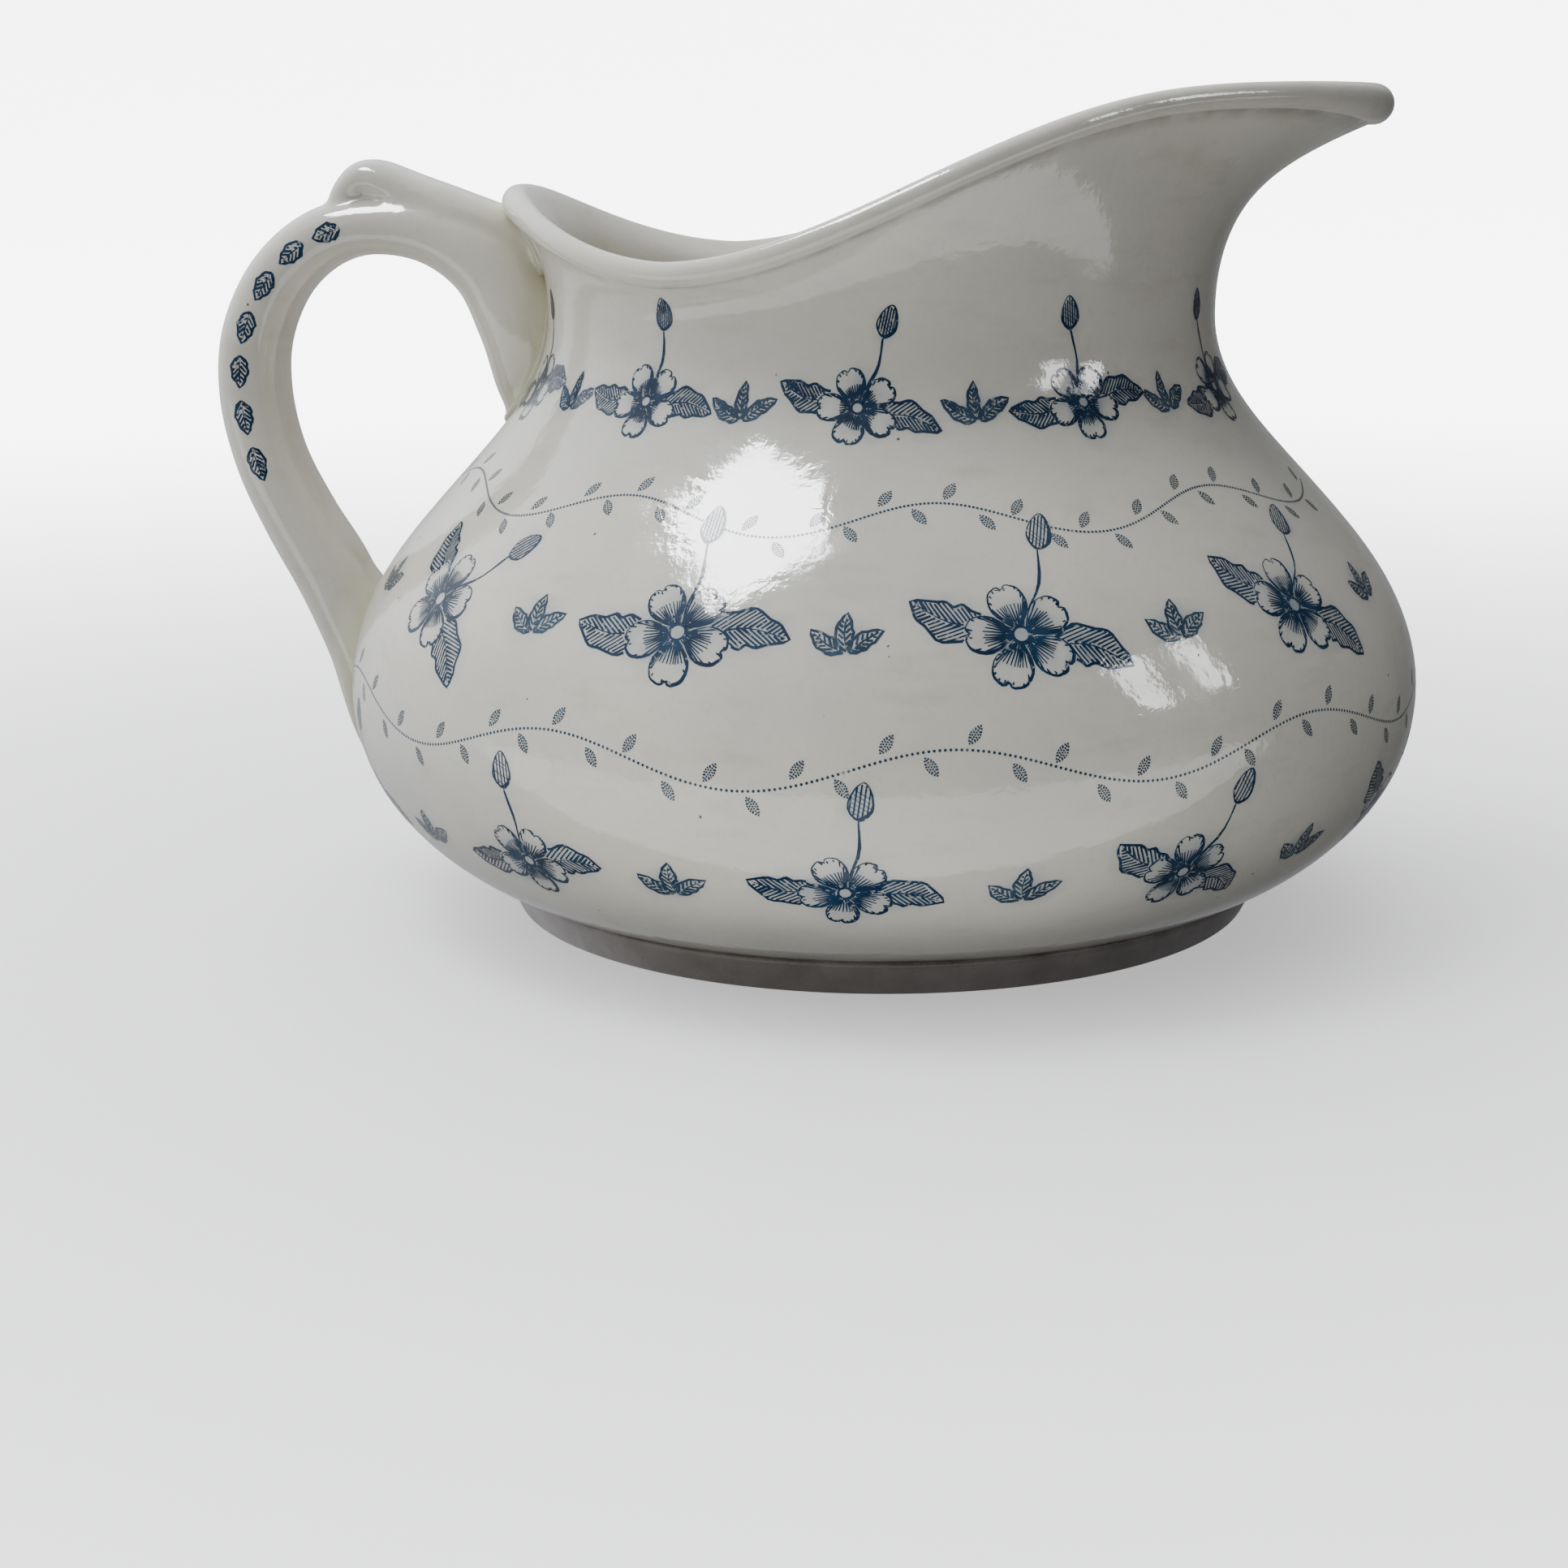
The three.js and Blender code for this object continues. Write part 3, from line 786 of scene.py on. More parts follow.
class Sheet:
    """Engraver's line work, laid from the front of the picture to the back."""

    def __init__(self):
        self.covers = []
        self.strokes = []

    def hidden(self, points):
        hid = np.zeros(len(points), bool)
        for outline, low, high in self.covers:
            near = ~hid & np.all((points > low) & (points < high), axis=1)
            if near.any():
                hid[near] = within(points[near], outline)
        return hid

    def keep(self, points, widths, shown):
        """Each unbroken shown run becomes one stroke."""
        start = None
        for i, on in enumerate(np.append(shown, False)):
            if on and start is None:
                start = i
            elif not on and start is not None:
                if i - start > 1:
                    self.strokes.append((points[start:i], widths[start:i]))
                start = None

    def line(self, points, width=OUTLINE_WIDTH, taper=0.35, closed=False):
        """A graver's line that swells and thins as it goes, and comes to a point at open ends."""
        path = evenly(points, SAMPLE, closed)
        count = len(path)
        t = np.linspace(0, 1, count)
        swell = 0.82 + 0.26 * np.sin(t * count * SAMPLE * 0.9 + chance.uniform(0, 6))
        if not closed:
            ends = np.minimum(t, 1 - t) * count * SAMPLE
            swell = swell * np.clip(taper + ends / 1.2, 0, 1)
        self.keep(path, width * swell, ~self.hidden(path))

    def cover(self, points):
        outline = evenly(points, SAMPLE, True)[:-1]
        self.covers.append((outline, outline.min(0), outline.max(0)))

    def hatch(self, outline, shade, paths, width=HATCH_WIDTH):
        """Hatching along each path, fat where the shade is deep and gone where there is none."""
        for path in paths:
            path = path[within(path, outline)] if len(path) else path
            if len(path) < 2:
                continue
            gaps = np.hypot(*np.diff(path, axis=0).T) > 1.6 * SAMPLE
            depth = shade(path) * chance.uniform(0.72, 1.12)
            shown = (depth > 0.06) & ~self.hidden(path)
            shown[1:] &= ~gaps
            fat = 0.42 + 0.9 * np.clip(depth, 0, 1) + 1.6 * np.clip(depth - 0.72, 0, 0.4)
            self.keep(path, width * fat, shown)

    def petal(self, points, hub=None, near=0.0, edge=0.0, tone=0.0, grain=None):
        """One petal or leaf: outline, then hatching from its hub, or along its grain in degrees."""
        outline = evenly(points, SAMPLE, True)[:-1]
        middle = outline.mean(0)
        hub = middle if hub is None else np.array(hub, float)
        path = np.vstack([outline, outline[:1]])
        facing = np.roll(outline, -1, axis=0) - np.roll(outline, 1, axis=0)
        side = np.sign(np.cross(outline - middle, facing).sum())
        normal = np.column_stack([facing[:, 1], -facing[:, 0]]) * side
        normal /= np.maximum(np.hypot(*normal.T), 1e-6)[:, None]
        weight = 0.85 + 0.45 * (normal @ np.array([0.5, -0.85]))
        weight = np.append(weight, weight[0])
        weight *= 0.9 + 0.2 * np.sin(np.arange(len(weight)) * 0.31 + chance.uniform(0, 6))
        self.keep(path, OUTLINE_WIDTH * weight, ~self.hidden(path))

        def shade(at):
            depth = np.full(len(at), float(tone))
            if edge:
                depth = np.maximum(depth, 1.05 - edge_distance(at, outline) / edge)
            if near:
                depth = np.maximum(depth, 1.05 - np.hypot(*(at - hub).T) / near)
            return depth

        reach = np.hypot(*(outline - hub).T).max()
        if grain is None:
            paths = self.rays(hub, reach, outline)
            turn = math.degrees(math.atan2(*(middle - hub)[::-1])) + 62
        else:
            paths = self.parallels(middle, reach + 12, grain)
            turn = grain + 62
        self.hatch(outline, shade, paths)
        crossing = self.parallels(middle, reach + 12, turn)
        self.hatch(outline, lambda at: (shade(at) - 0.5) * 1.4, crossing, 0.07)
        self.covers.append((outline, outline.min(0), outline.max(0)))

    def rays(self, hub, reach, outline):
        angles = np.arctan2(*(outline - hub).T[::-1])
        mid = math.atan2(np.sin(angles).mean(), np.cos(angles).mean())
        spread = np.angle(np.exp(1j * (angles - mid)))
        step = HATCH_PITCH / (0.72 * reach)
        found = []
        for number, turn in enumerate(np.arange(spread.min(), spread.max(), step)):
            start = (0.4, 0.28 * reach)[number % 2]
            along = np.arange(start, reach, SAMPLE)
            bend = mid + turn + 0.05 * np.sin(along * 0.5 + number) / (1 + along * 0.2)
            found.append(np.column_stack([hub[0] + along * np.cos(bend), hub[1] + along * np.sin(bend)]))
        return found

    def parallels(self, middle, reach, grain):
        along = np.arange(-reach, reach, SAMPLE)
        turn = math.radians(grain)
        way, across = np.array([math.cos(turn), math.sin(turn)]), np.array([-math.sin(turn), math.cos(turn)])
        found = []
        for offset in np.arange(-reach, reach, HATCH_PITCH):
            bow = 0.0022 * along**2 + 0.06 * np.sin(along * 0.8 + offset)
            found.append(middle + along[:, None] * way + (offset + bow)[:, None] * across)
        return found

    def leaf(self, spine, half_width, tone=0.5, lean=40, ragged=0.12):
        """A leaf along its spine: a rib, and hatching that runs out from the rib on both sides."""
        path = evenly(spine, 0.5)
        t = np.linspace(0, 1, len(path))
        way = np.gradient(path, axis=0)
        way /= np.hypot(*way.T)[:, None]
        across = np.column_stack([-way[:, 1], way[:, 0]])
        body = half_width * np.sin(math.pi * t**0.8) ** 0.75
        wave = 1 + ragged * np.sin(t * 19 + chance.uniform(0, 6))
        left = path + across * (body * wave)[:, None]
        right = path - across * (body * (2 - wave))[:, None]
        outline = np.vstack([left, right[-2:0:-1]])
        self.line(path[1:-1], 0.11)
        rim = np.vstack([outline, outline[:1]])
        self.keep(rim, np.full(len(rim), OUTLINE_WIDTH), ~self.hidden(rim))
        heading = math.degrees(math.atan2(*(path[-1] - path[0])[::-1]))
        for half, extra, turn in ((left, 0.0, lean), (right, 0.22, -lean)):
            part = np.vstack([half, path[::-1]])

            def shade(at, part=part, extra=extra):
                return np.maximum(tone + extra, 1.0 - edge_distance(at, part) / 0.8)

            reach = np.hypot(*(part - part.mean(0)).T).max() + 6
            self.hatch(part, shade, self.parallels(part.mean(0), reach, heading + turn))
        self.covers.append((outline, outline.min(0), outline.max(0)))

    def stamen(self, points):
        self.line(points, 0.11, 0.7)
        tip, before = np.array(points[-1], float), np.array(points[-2], float)
        way = (tip - before) / np.hypot(*(tip - before))
        self.line([tip - way * 0.5, tip + way * 0.9], 0.34, 0.4)


# ---------------------------------------------------------------- what the print shows

# A stock pattern: the same plain sprig in staggered rows, with a dotted garland between the rows.
SPRIG_ROWS = (20, 50, 80)  # lengths up the wall
SPRIG_SIZES = (0.85, 1.0, 0.75)
SPRIG_GAP = 36
GARLAND_ROWS = (35, 65)
GARLAND_REACH = 82
GARLAND_SWING = 2.4
GARLAND_WAVE = 6.5
LEAFLET_GAP = 4.2
PETAL_OUTLINE = [(1.2, -0.5), (3.4, -2.1), (5.5, -1.9), (6.3, -0.6), (5.8, 0)]
PETAL_OUTLINE += [(x, -y) for x, y in PETAL_OUTLINE[-2::-1]]
BUD_OUTLINE = [(11.6, 0), (13, -1.5), (15.2, -1.2), (16.6, 0), (15.2, 1.2), (13, 1.5)]


def placed(points, x, y, turn, size):
    """A motif's points, turned in degrees and set on the sheet, true to shape once on the pot."""
    way = math.radians(turn)
    along, across = np.array([math.cos(way), math.sin(way)]), np.array([-math.sin(way), math.cos(way)])
    rows = np.asarray(points, float) * size
    spread = rows[:, :1] * along + rows[:, 1:] * across
    return spread * (SHEET_RADIUS / up_wall(y)[1], 1) + (x, y)


def draw_sprig(sheet, x, y, turn, size):
    """A five-petalled flower with two leaves, and a bud on a stem."""
    hub = np.array([x, y], float)
    ring = [(math.cos(a), math.sin(a)) for a in np.radians(np.arange(0, 360, 45))]
    sheet.line(placed(ring, x, y, turn, size), 0.24, closed=True)
    sheet.cover(placed(ring, x, y, turn, size))
    for number in range(5):
        sheet.stamen(placed([(1.2, 0), (2.6, 0.3)], x, y, turn + 36 + 72 * number, size))
    for number in range(5):
        sheet.petal(placed(PETAL_OUTLINE, x, y, turn + 72 * number, size), hub, near=4.2 * size, edge=0.5)
    for lean in (-54, 126):
        sheet.leaf(placed([(3.5, 0), (8, 1.2), (13, 0.2)], x, y, turn + lean, size), 2.3 * size, tone=0.45)
    sheet.petal(placed(BUD_OUTLINE, x, y, turn + 36, size), tone=0.55, grain=turn + 36)
    sheet.line(placed([(3, 0), (7, -0.8), (11.8, 0)], x, y, turn + 36, size), 0.2)


def draw_tuft(sheet, x, y):
    """Three small leaves from one point."""
    for turn in (35, 90, 145):
        sheet.leaf(placed([(0.4, 0), (2.6, 0.3), (5, 0)], x, y, turn, 1), 0.9, tone=0.5)


def draw_garland(sheet, height):
    """Dots along a wave, and a stippled leaflet at each step, on one side and then the other."""
    x = np.arange(-GARLAND_REACH, GARLAND_REACH, 1.0)
    path = evenly(np.column_stack([x, height + GARLAND_SWING * np.sin(x / GARLAND_WAVE)]), 0.52)
    dots = path[~sheet.hidden(path)]
    leaflets = []
    for number, x in enumerate(np.arange(-GARLAND_REACH + 2, GARLAND_REACH, LEAFLET_GAP)):
        side = (-1) ** number
        y = height + GARLAND_SWING * math.sin(x / GARLAND_WAVE) + 1.7 * side
        if not sheet.hidden(np.array([[x, y]]))[0]:
            leaflets.append((x, y, 55 * side, 0.8))
    return list(dots), leaflets


def draw_handle_leaves():
    """A row of leaves up the handle, drawn as seen from the side: x from the axis and height."""
    sheet = Sheet()
    for start in np.arange(0.34, 0.62, 0.045):
        spine = through(HANDLE_STATIONS, np.array([start, start + 0.016, start + 0.032]))[:, :2]
        sheet.leaf(spine, 1.1, tone=0.5)
    return sheet.strokes


def draw_print():
    """The sprigs in full colour, the fainter tufts, and the garlands."""
    sheet, faint = Sheet(), Sheet()
    for row, (y, size) in enumerate(zip(SPRIG_ROWS, SPRIG_SIZES)):
        shift = SPRIG_GAP / 2 * (row % 2)
        for x in np.arange(-2 * SPRIG_GAP + shift, 2 * SPRIG_GAP + 1, SPRIG_GAP):
            draw_sprig(sheet, x, y, chance.uniform(0, 72), size)
    faint.covers = sheet.covers
    for row, y in enumerate(SPRIG_ROWS):
        shift = SPRIG_GAP / 2 * ((row + 1) % 2)
        for x in np.arange(-2 * SPRIG_GAP + shift, 2 * SPRIG_GAP + 1, SPRIG_GAP):
            draw_tuft(faint, x, y - 2)
    dots, leaflets = [], []
    for height in GARLAND_ROWS:
        more_dots, more_leaflets = draw_garland(sheet, height)
        dots += more_dots
        leaflets += more_leaflets
    return sheet, faint, (dots, leaflets)


# ---------------------------------------------------------------- the print laid on the pot

SHEET_REACH = 95  # where the sheet stands off before it is laid on, from the pot's axis


def up_wall(y):
    """Height and wall radius at a length up the wall."""
    height = np.interp(y, TRACK_LENGTH, TRACK_HEIGHT) + np.minimum(y, 0)
    return height, np.interp(y, TRACK_LENGTH, TRACK_RADIUS)


def off_pot(points, side):
    """Sheet points standing off the pot, and the way each looks at it; side is 1 near, -1 far."""
    points = np.atleast_2d(points)
    turn = points[:, 0] / SHEET_RADIUS - math.pi / 2
    out = np.column_stack([np.cos(turn), side * np.sin(turn), np.zeros(len(turn))])
    places = out * SHEET_REACH
    places[:, 2] = up_wall(points[:, 1])[0]
    return places, -out


def pared(points, widths):
    """A stroke without the samples that a straight run doesn't need."""
    way = np.diff(points, axis=0)
    heading = np.unwrap(np.arctan2(way[:, 1], way[:, 0]))
    kept, last = [0], heading[0]
    for i in range(1, len(points) - 1):
        far = (i - kept[-1]) * SAMPLE > 1.3
        if far or abs(heading[i] - last) > 0.2:
            kept.append(i)
            last = heading[i]
    kept.append(len(points) - 1)
    return points[kept], widths[kept]


def ribbons(strokes, stretch):
    """Flat ribbons for the strokes; stretch gives the sheet's x for a millimetre at a height."""
    points, faces = [], []
    for line, widths in strokes:
        line, widths = pared(line, widths)
        squeeze = np.column_stack([stretch(line[:, 1]), np.ones(len(line))])
        way = np.gradient(line / squeeze, axis=0)
        way /= np.maximum(np.hypot(*way.T), 1e-6)[:, None]
        across = np.column_stack([-way[:, 1], way[:, 0]]) * widths[:, None] * squeeze
        start = len(points)
        for place, off in zip(line, across):
            points.extend([place + off, place - off])
        for i in range(len(line) - 1):
            low = start + 2 * i
            faces.append((low, low + 1, low + 3, low + 2))
    return np.array(points), faces


def vectors(made, name, values):
    layer = made.data.attributes.new(name, "FLOAT_VECTOR", "POINT")
    layer.data.foreach_set("vector", np.asarray(values, np.float32).ravel())


def laying_nodes(tree, start):
    """Nodes that drop each point along its own aim on to the pot, lifted a hair off the glaze."""
    add, link = tree.nodes.new, tree.links.new
    pot, foot = add("GeometryNodeObjectInfo"), add("GeometryNodeObjectInfo")
    both, aim = add("GeometryNodeJoinGeometry"), add("GeometryNodeInputNamedAttribute")
    aim.data_type = "FLOAT_VECTOR"
    aim.inputs["Name"].default_value = "aim"
    ray, place = add("GeometryNodeRaycast"), add("GeometryNodeSetPosition")
    lift, sum_up = add("ShaderNodeVectorMath"), add("ShaderNodeVectorMath")
    lift.operation = "SCALE"
    missed, off = add("FunctionNodeBooleanMath"), add("GeometryNodeDeleteGeometry")
    missed.operation = "NOT"
    link(start.outputs["Pot"], pot.inputs["Object"])
    link(start.outputs["Foot"], foot.inputs["Object"])
    link(pot.outputs["Geometry"], both.inputs["Geometry"])
    link(foot.outputs["Geometry"], both.inputs["Geometry"])
    link(both.outputs["Geometry"], ray.inputs["Target Geometry"])
    link(aim.outputs["Attribute"], ray.inputs["Ray Direction"])
    ray.inputs["Ray Length"].default_value = 0.08
    link(ray.outputs["Hit Normal"], lift.inputs[0])
    link(start.outputs["Lift"], lift.inputs["Scale"])
    link(ray.outputs["Hit Position"], sum_up.inputs[0])
    link(lift.outputs["Vector"], sum_up.inputs[1])
    link(ray.outputs["Is Hit"], missed.inputs[0])
    link(start.outputs["Sheet"], off.inputs["Geometry"])
    link(missed.outputs["Boolean"], off.inputs["Selection"])
    link(off.outputs["Geometry"], place.inputs["Geometry"])
    link(sum_up.outputs["Vector"], place.inputs["Position"])
    return off, place, ray


def print_tree(name, stamped):
    """Lays a sheet on the pot; where stamped, puts a small stamp at each point of the sheet."""
    tree = bpy.data.node_groups.new(name, "GeometryNodeTree")
    sockets = {"Sheet": input_of(tree, "Sheet", "NodeSocketGeometry")}
    sockets["Pot"] = input_of(tree, "Pot", "NodeSocketObject")
    sockets["Foot"] = input_of(tree, "Foot", "NodeSocketObject")
    sockets["Lift"] = input_of(tree, "Lift", "NodeSocketFloat", LIFT * MM)
    if stamped:
        sockets["Stamp"] = input_of(tree, "Stamp", "NodeSocketObject")
    sockets["Ink"] = input_of(tree, "Ink", "NodeSocketMaterial")
    tree.interface.new_socket(name="Geometry", in_out="OUTPUT", socket_type="NodeSocketGeometry")
    add, link = tree.nodes.new, tree.links.new
    start, end = add("NodeGroupInput"), add("NodeGroupOutput")
    first, laid, ray = laying_nodes(tree, start)
    merge, finish = add("GeometryNodeRealizeInstances"), add("GeometryNodeSetMaterial")
    if stamped:
        stamp, spread = add("GeometryNodeObjectInfo"), add("GeometryNodeInstanceOnPoints")
        heading, size = add("GeometryNodeInputNamedAttribute"), add("GeometryNodeInputNamedAttribute")
        heading.data_type = "FLOAT_VECTOR"
        heading.inputs["Name"].default_value = "heading"
        size.inputs["Name"].default_value = "size"
        flat, turned = add("FunctionNodeAlignRotationToVector"), add("FunctionNodeAlignRotationToVector")
        flat.axis = "Z"
        turned.axis = "X"
        turned.pivot_axis = "Z"
        link(start.outputs["Stamp"], stamp.inputs["Object"])
        link(ray.outputs["Hit Normal"], flat.inputs["Vector"])
        link(flat.outputs["Rotation"], turned.inputs["Rotation"])
        link(heading.outputs["Attribute"], turned.inputs["Vector"])
        keep_turn = add("GeometryNodeStoreNamedAttribute")
        keep_turn.data_type = "QUATERNION"
        keep_turn.inputs["Name"].default_value = "lie"
        link(start.outputs["Sheet"], keep_turn.inputs["Geometry"])
        link(turned.outputs["Rotation"], keep_turn.inputs["Value"])
        link(keep_turn.outputs["Geometry"], first.inputs["Geometry"])
        lie = add("GeometryNodeInputNamedAttribute")
        lie.data_type = "QUATERNION"
        lie.inputs["Name"].default_value = "lie"
        link(laid.outputs["Geometry"], spread.inputs["Points"])
        link(stamp.outputs["Geometry"], spread.inputs["Instance"])
        link(lie.outputs["Attribute"], spread.inputs["Rotation"])
        link(size.outputs["Attribute"], spread.inputs["Scale"])
        link(spread.outputs["Instances"], merge.inputs["Geometry"])
    else:
        link(laid.outputs["Geometry"], merge.inputs["Geometry"])
    link(merge.outputs["Geometry"], finish.inputs["Geometry"])
    link(start.outputs["Ink"], finish.inputs["Material"])
    link(finish.outputs["Geometry"], end.inputs["Geometry"])
    return tree, sockets


def lay(sheet, name, tree, sockets, pot, ink, stamp=None):
    laying = sheet.modifiers.new("laid", "NODES")
    laying.node_group = tree
    laying[sockets["Pot"]], laying[sockets["Foot"]] = pot
    laying[sockets["Ink"]] = ink
    if stamp:
        laying[sockets["Stamp"]] = stamp
    made = baked(sheet, name)
    for spare in [a.name for a in made.data.attributes if a.name in ("aim", "heading", "size", "lie")]:
        made.data.attributes.remove(made.data.attributes[spare])
    return made


def pot_stretch(y):
    return SHEET_RADIUS / up_wall(y)[1]


def make_line_print(name, strokes, side, pot, ink):
    points, faces = ribbons(strokes, pot_stretch)
    places, aims = off_pot(points, side)
    flat = add_mesh(name + "_sheet", places, [face[::side] for face in faces])
    vectors(flat, "aim", aims)
    return lay(flat, name, *LINE_TREE, pot, ink)


def make_handle_print(name, strokes, side, handle, ink):
    """Line work pressed straight on to the handle from the side."""
    points, faces = ribbons(strokes, lambda y: np.ones_like(y))
    places = np.column_stack([points[:, 0], np.full(len(points), -30 * side), points[:, 1]])
    flat = add_mesh(name + "_sheet", places, [face[::side] for face in faces])
    vectors(flat, "aim", np.tile((0, side, 0), (len(points), 1)))
    return lay(flat, name, *LINE_TREE, (handle, handle), ink)


def make_stamped_print(name, seeds, side, pot, ink, stamp):
    """Seeds are rows of x, y, turn in degrees and size on the sheet."""
    seeds = np.asarray(seeds, float)
    places, aims = off_pot(seeds[:, :2], side)
    flat = add_mesh(name + "_sheet", places, [])
    turn = seeds[:, 0] / SHEET_RADIUS - math.pi / 2
    round_pot = np.column_stack([-np.sin(turn), side * np.cos(turn), np.zeros(len(turn))])
    lie = np.radians(seeds[:, 2])[:, None]
    slope = np.gradient(TRACK_RADIUS, TRACK_LENGTH)
    lean = np.interp(seeds[:, 1], TRACK_LENGTH, slope)[:, None]
    up = -aims * lean + np.array([0, 0, 1]) * np.sqrt(1 - lean**2)
    vectors(flat, "aim", aims)
    vectors(flat, "heading", round_pot * np.cos(lie) + up * np.sin(lie))
    paint(flat, "size", seeds[:, 3])
    return lay(flat, name, *STAMP_TREE, pot, ink, stamp)


def make_stamp(name, places, radius):
    """Small flat dots at the places given, about the stamp's own middle."""
    points, faces = [], []
    for x, y in places:
        start = len(points)
        points.extend(
            (x + radius * math.cos(t), y + radius * math.sin(t), 0) for t in np.arange(5) / 5 * 2 * math.pi
        )
        faces.append(tuple(range(start, start + 5)))
    mesh = bpy.data.meshes.new(name)
    mesh.from_pydata((np.array(points) * MM).tolist(), [], faces)
    made = bpy.data.objects.new(name, mesh)
    bpy.context.scene.collection.objects.link(made)
    return made


def leaflet_dots():
    """Dots round an almond shape, down its middle and over its fuller half."""
    places = [(x, 0) for x in np.linspace(-1.45, 1.45, 9)]
    for x in np.linspace(-1.15, 1.15, 7):
        wide = 0.66 * math.cos(x / 1.5 * math.pi / 2) ** 0.8
        places.extend([(x, wide), (x, -wide)])
    places.extend([(x, y) for y in (-0.34, 0.34) for x in (-0.65, -0.22, 0.22, 0.65)])
    return places


def ink_density(strokes):
    """How much ink lies near each square millimetre of the sheet."""
    density = np.zeros((200, 110))
    for line, widths in strokes:
        cells = np.clip((line + (100, 5)).astype(int), 0, (199, 109))
        np.add.at(density, (cells[:, 0], cells[:, 1]), 2 * widths * SAMPLE)
    weights = np.exp(-(np.arange(-3, 4) ** 2) / 1.6)
    weights /= weights.sum()
    for axis in (0, 1):
        density = np.apply_along_axis(np.convolve, axis, density, weights, "same")
    return 0.6 * np.clip(density * 1.5 - 0.15, 0, 1)


def paint_haze(body, strokes):
    """Ink that has bled a little into the glaze, soft round the line work."""
    density = ink_density(strokes)
    points = places_of(body)
    radius = np.hypot(points[:, 0], points[:, 1])
    x = SHEET_RADIUS * (math.pi / 2 - np.abs(np.arctan2(points[:, 1], points[:, 0])))
    y = np.interp(points[:, 2], TRACK_HEIGHT, TRACK_LENGTH)
    outside = radius > np.interp(points[:, 2], TRACK_HEIGHT, TRACK_RADIUS) - 1.2
    cells = np.clip(np.column_stack([x + 100, y + 5]).astype(int), 0, (199, 109))
    paint(body, "haze", density[cells[:, 0], cells[:, 1]] * outside)


# ---------------------------------------------------------------- the jug

body_glaze = glaze_finish("cream_glaze", IVORY, GREY_CREAM, TEA_STAIN)
handle_glaze = glaze_finish("handle_glaze", IVORY, GREY_CREAM, TEA_STAIN, joint_tint=JOINT_YELLOW)
# painted shade: the foot's glaze takes dark browns that stand in for the shadow the foot sits in
painted_shade_foot_glaze = glaze_finish("painted_shade_foot_glaze", (0.27, 0.235, 0.21), (0.37, 0.33, 0.31), (0.155, 0.128, 0.108), (0.24, 0.4))
slip_glaze = glaze_finish("slip_glaze", (0.56, 0.55, 0.38), (0.50, 0.50, 0.40), TEA_STAIN, (0.08, 0.2))

ink = ink_finish("cobalt_print", (0.004, 0.020, 0.052), (0.012, 0.044, 0.092))
faint_ink = ink_finish("faint_print", (0.018, 0.042, 0.074), (0.045, 0.085, 0.13))

pot_outside = outer_tree()
body = make_body()
foot = make_foot(painted_shade_foot_glaze)
handle = make_handle(pot_outside)
drawn, faint, (vine_dots, vine_leaflets) = draw_print()
handle_leaves = draw_handle_leaves()
paint_haze(body, drawn.strokes + faint.strokes)

pot = (body, foot)
LINE_TREE = print_tree("laid_lines", False)
STAMP_TREE = print_tree("laid_stamps", True)
dot_stamp = make_stamp("dot_stamp", [(0, 0)], 0.19)
leaflet_stamp = make_stamp("leaflet_stamp", leaflet_dots(), 0.165)
dot_seeds = [(x, y, 0, 1) for x, y in vine_dots]
for name, side in (("near", 1), ("far", -1)):
    for made in (
        make_line_print(f"print_{name}", drawn.strokes, side, pot, ink),
        make_line_print(f"faint_print_{name}", faint.strokes, side, pot, faint_ink),
        make_stamped_print(f"vine_stems_{name}", dot_seeds, side, pot, faint_ink, dot_stamp),
        make_stamped_print(f"vine_leaflets_{name}", vine_leaflets, side, pot, faint_ink, leaflet_stamp),
        make_handle_print(f"handle_print_{name}", handle_leaves, side, handle, ink),
    ):
        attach(made, "root")
for spare in (dot_stamp, leaflet_stamp):
    bpy.data.objects.remove(spare)

finished(body, "glazed_body", body_glaze, "body")
finished(foot, "glazed_foot", painted_shade_foot_glaze, "foot_ring")
finished(handle, "glazed_handle", handle_glaze, "handle", "thumb_rest")

handle_rod = bent_rod(HANDLE_STATIONS)
thumb_rod = bent_rod(THUMB_REST_STATIONS)
bead_tree, bead_sockets = slip_bead_tree(slip_glaze)
upper_loops = [root_loop(pot_outside, handle_rod, False), root_loop(pot_outside, thumb_rod, False)]
lower_loops = [root_loop(pot_outside, handle_rod, True)]
upper_slip = make_slip("upper_slip", upper_loops, 0.7, bead_tree, bead_sockets)
lower_slip = make_slip("lower_slip", lower_loops, 0.6, bead_tree, bead_sockets)
for slip in (upper_slip, lower_slip):
    paint(slip, "crease_shade_and_grime", np.full(len(slip.data.vertices), 0.12))
finished(upper_slip, "luting_slip", slip_glaze, "upper_slip_joint")
finished(lower_slip, "luting_slip", slip_glaze, "lower_slip_joint")

# ---------------------------------------------------------------- floor, light and camera


def make_floor():
    flat, rise, rings = 2600, 900, 14
    turns = np.arange(96) / 96 * 2 * math.pi
    radii = [0.01, 300, flat] + [flat + rise * math.sin(t) for t in np.linspace(0.1, 1.35, rings)]
    heights = [0, 0, 0] + [rise * (1 - math.cos(t)) for t in np.linspace(0.1, 1.35, rings)]
    points = [(r * math.cos(t), r * math.sin(t), h) for r, h in zip(radii, heights) for t in turns]
    faces = [
        (i * 96 + j, i * 96 + (j + 1) % 96, (i + 1) * 96 + (j + 1) % 96, (i + 1) * 96 + j)
        for i in range(len(radii) - 1)
        for j in range(96)
    ]
    floor = add_mesh("floor", points, [face[::-1] for face in faces])
    floor.data.materials.append(backdrop_finish())
    floor.visible_diffuse = False
    floor.visible_glossy = False


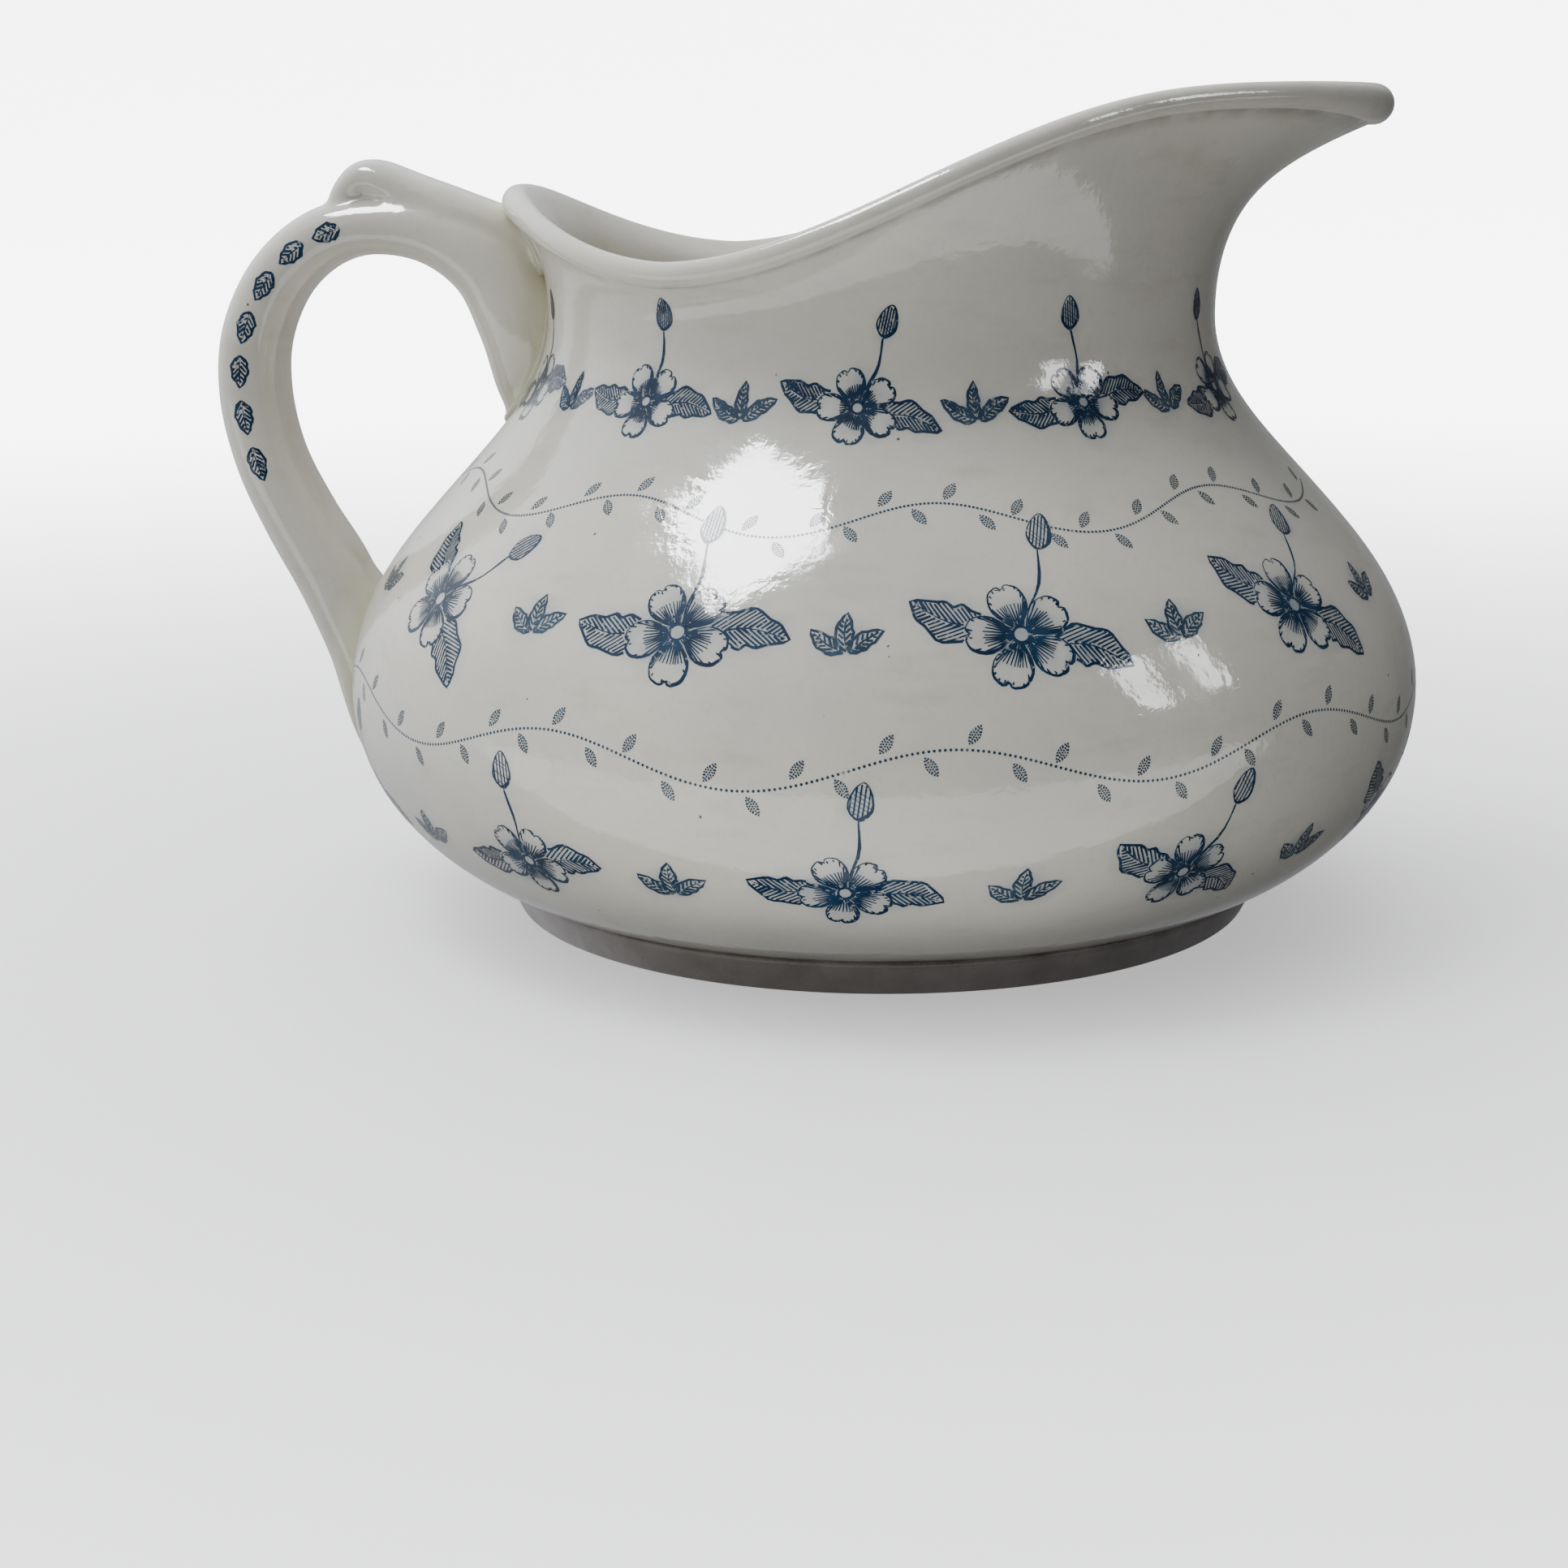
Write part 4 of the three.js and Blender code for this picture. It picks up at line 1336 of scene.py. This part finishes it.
def make_room():
    """Soft light from all round: broad patches, each with a direction, a width and a brightness."""
    patches = [
        ((-0.92, 0.08, 0.50), -0.1, 0.95, 0.98),
        ((-0.25, 0.35, 0.95), 0.3, 0.95, 1.45),
        ((-0.20, -0.75, -0.60), 0.1, 0.9, 0.12),
        ((-0.6, 0.8, 0.0), 0.3, 0.9, 0.4),
        ((0.90, 0.10, -0.40), 0.2, 0.9, 0.10),
    ]
    world = bpy.data.worlds.new("studio")
    world.use_nodes = True
    tree = world.node_tree
    add, link = tree.nodes.new, tree.links.new
    way, total = add("ShaderNodeTexCoord"), None
    for direction, low, high, strength in patches:
        towards, share, join = add("ShaderNodeVectorMath"), add("ShaderNodeMapRange"), add("ShaderNodeMath")
        towards.operation = "DOT_PRODUCT"
        towards.inputs[1].default_value = Vector(direction).normalized()
        share.interpolation_type = "SMOOTHSTEP"
        for key, number in (("From Min", low), ("From Max", high), ("To Max", strength)):
            share.inputs[key].default_value = number
        join.inputs[0].default_value = 0.035  # what comes from everywhere else
        link(way.outputs["Generated"], towards.inputs[0])
        link(towards.outputs["Value"], share.inputs["Value"])
        link(share.outputs["Result"], join.inputs[1])
        if total:
            link(total, join.inputs[0])
        total = join.outputs["Value"]
    link(total, tree.nodes["Background"].inputs["Strength"])
    tree.nodes["Background"].inputs["Color"].default_value = (0.93, 0.95, 1.0, 1)
    bpy.context.scene.world = world


def soft_light(name, towards, distance, size, watts, colour, lit=True, seen=True):
    """A flat light facing the jug; it may light the glaze, be seen reflected in it, or both."""
    data = bpy.data.lights.new(name, "AREA")
    data.shape = "RECTANGLE"
    data.size, data.size_y = size
    data.energy = watts
    data.color = colour
    lamp = bpy.data.objects.new(name, data)
    way = Vector(towards).normalized()
    lamp.location = Vector((AXIS_X * MM, 0, 0.06)) + way * distance
    lamp.rotation_euler = way.to_track_quat("Z", "Y").to_euler()
    lamp.visible_diffuse, lamp.visible_glossy, lamp.visible_camera = lit, seen, False
    bpy.context.scene.collection.objects.link(lamp)
    return lamp


def make_camera():
    place = Vector((28.6, -344.8, 96.3)) * MM
    yaw, pitch, roll = (math.radians(a) for a in (-5.43, 13.38, -0.45))
    ahead = Vector(
        (math.sin(yaw) * math.cos(pitch), math.cos(yaw) * math.cos(pitch), -math.sin(pitch))
    )
    right = Vector((math.cos(yaw), -math.sin(yaw), 0))
    up = right.cross(ahead)
    tilted_right = math.cos(roll) * right + math.sin(roll) * up
    tilted_up = -math.sin(roll) * right + math.cos(roll) * up
    data = bpy.data.cameras.new("camera")
    data.sensor_width = 36
    data.lens = 60.19
    data.clip_start = 0.01
    camera = bpy.data.objects.new("camera", data)
    turn = Matrix((tilted_right, tilted_up, -ahead)).transposed()
    camera.matrix_world = Matrix.Translation(place) @ turn.to_4x4()
    bpy.context.scene.collection.objects.link(camera)
    bpy.context.scene.camera = camera


make_floor()
make_room()
cool = (0.96, 0.98, 1.0)
soft_light("window", (-0.37, -0.12, 0.92), 0.9, (0.40, 0.30), 2.5, cool, seen=False)
soft_light("window_shine", (-0.37, -0.12, 0.92), 0.84, (0.37, 0.28), 22.0, cool, lit=False)
for across in (-1, 1):
    for up in (-1, 1):
        towards = (0.84 + 0.05 * across, -0.30 + 0.11 * across, 0.46 + 0.085 * up)
        soft_light("pane_shine", towards, 1.3, (0.15, 0.19), 1.6, cool, lit=False)
table = soft_light("table", (0, 0, -1), 0.058, (0.5, 0.13), 0.3, cool, seen=False)
table.location.x, table.location.y = -0.1, -0.14
table = soft_light("table_shine", (0, 0, -1), 0.059, (1.3, 0.13), 1.25, cool, lit=False)
table.location.x, table.location.y = 0.13, -0.14
make_camera()
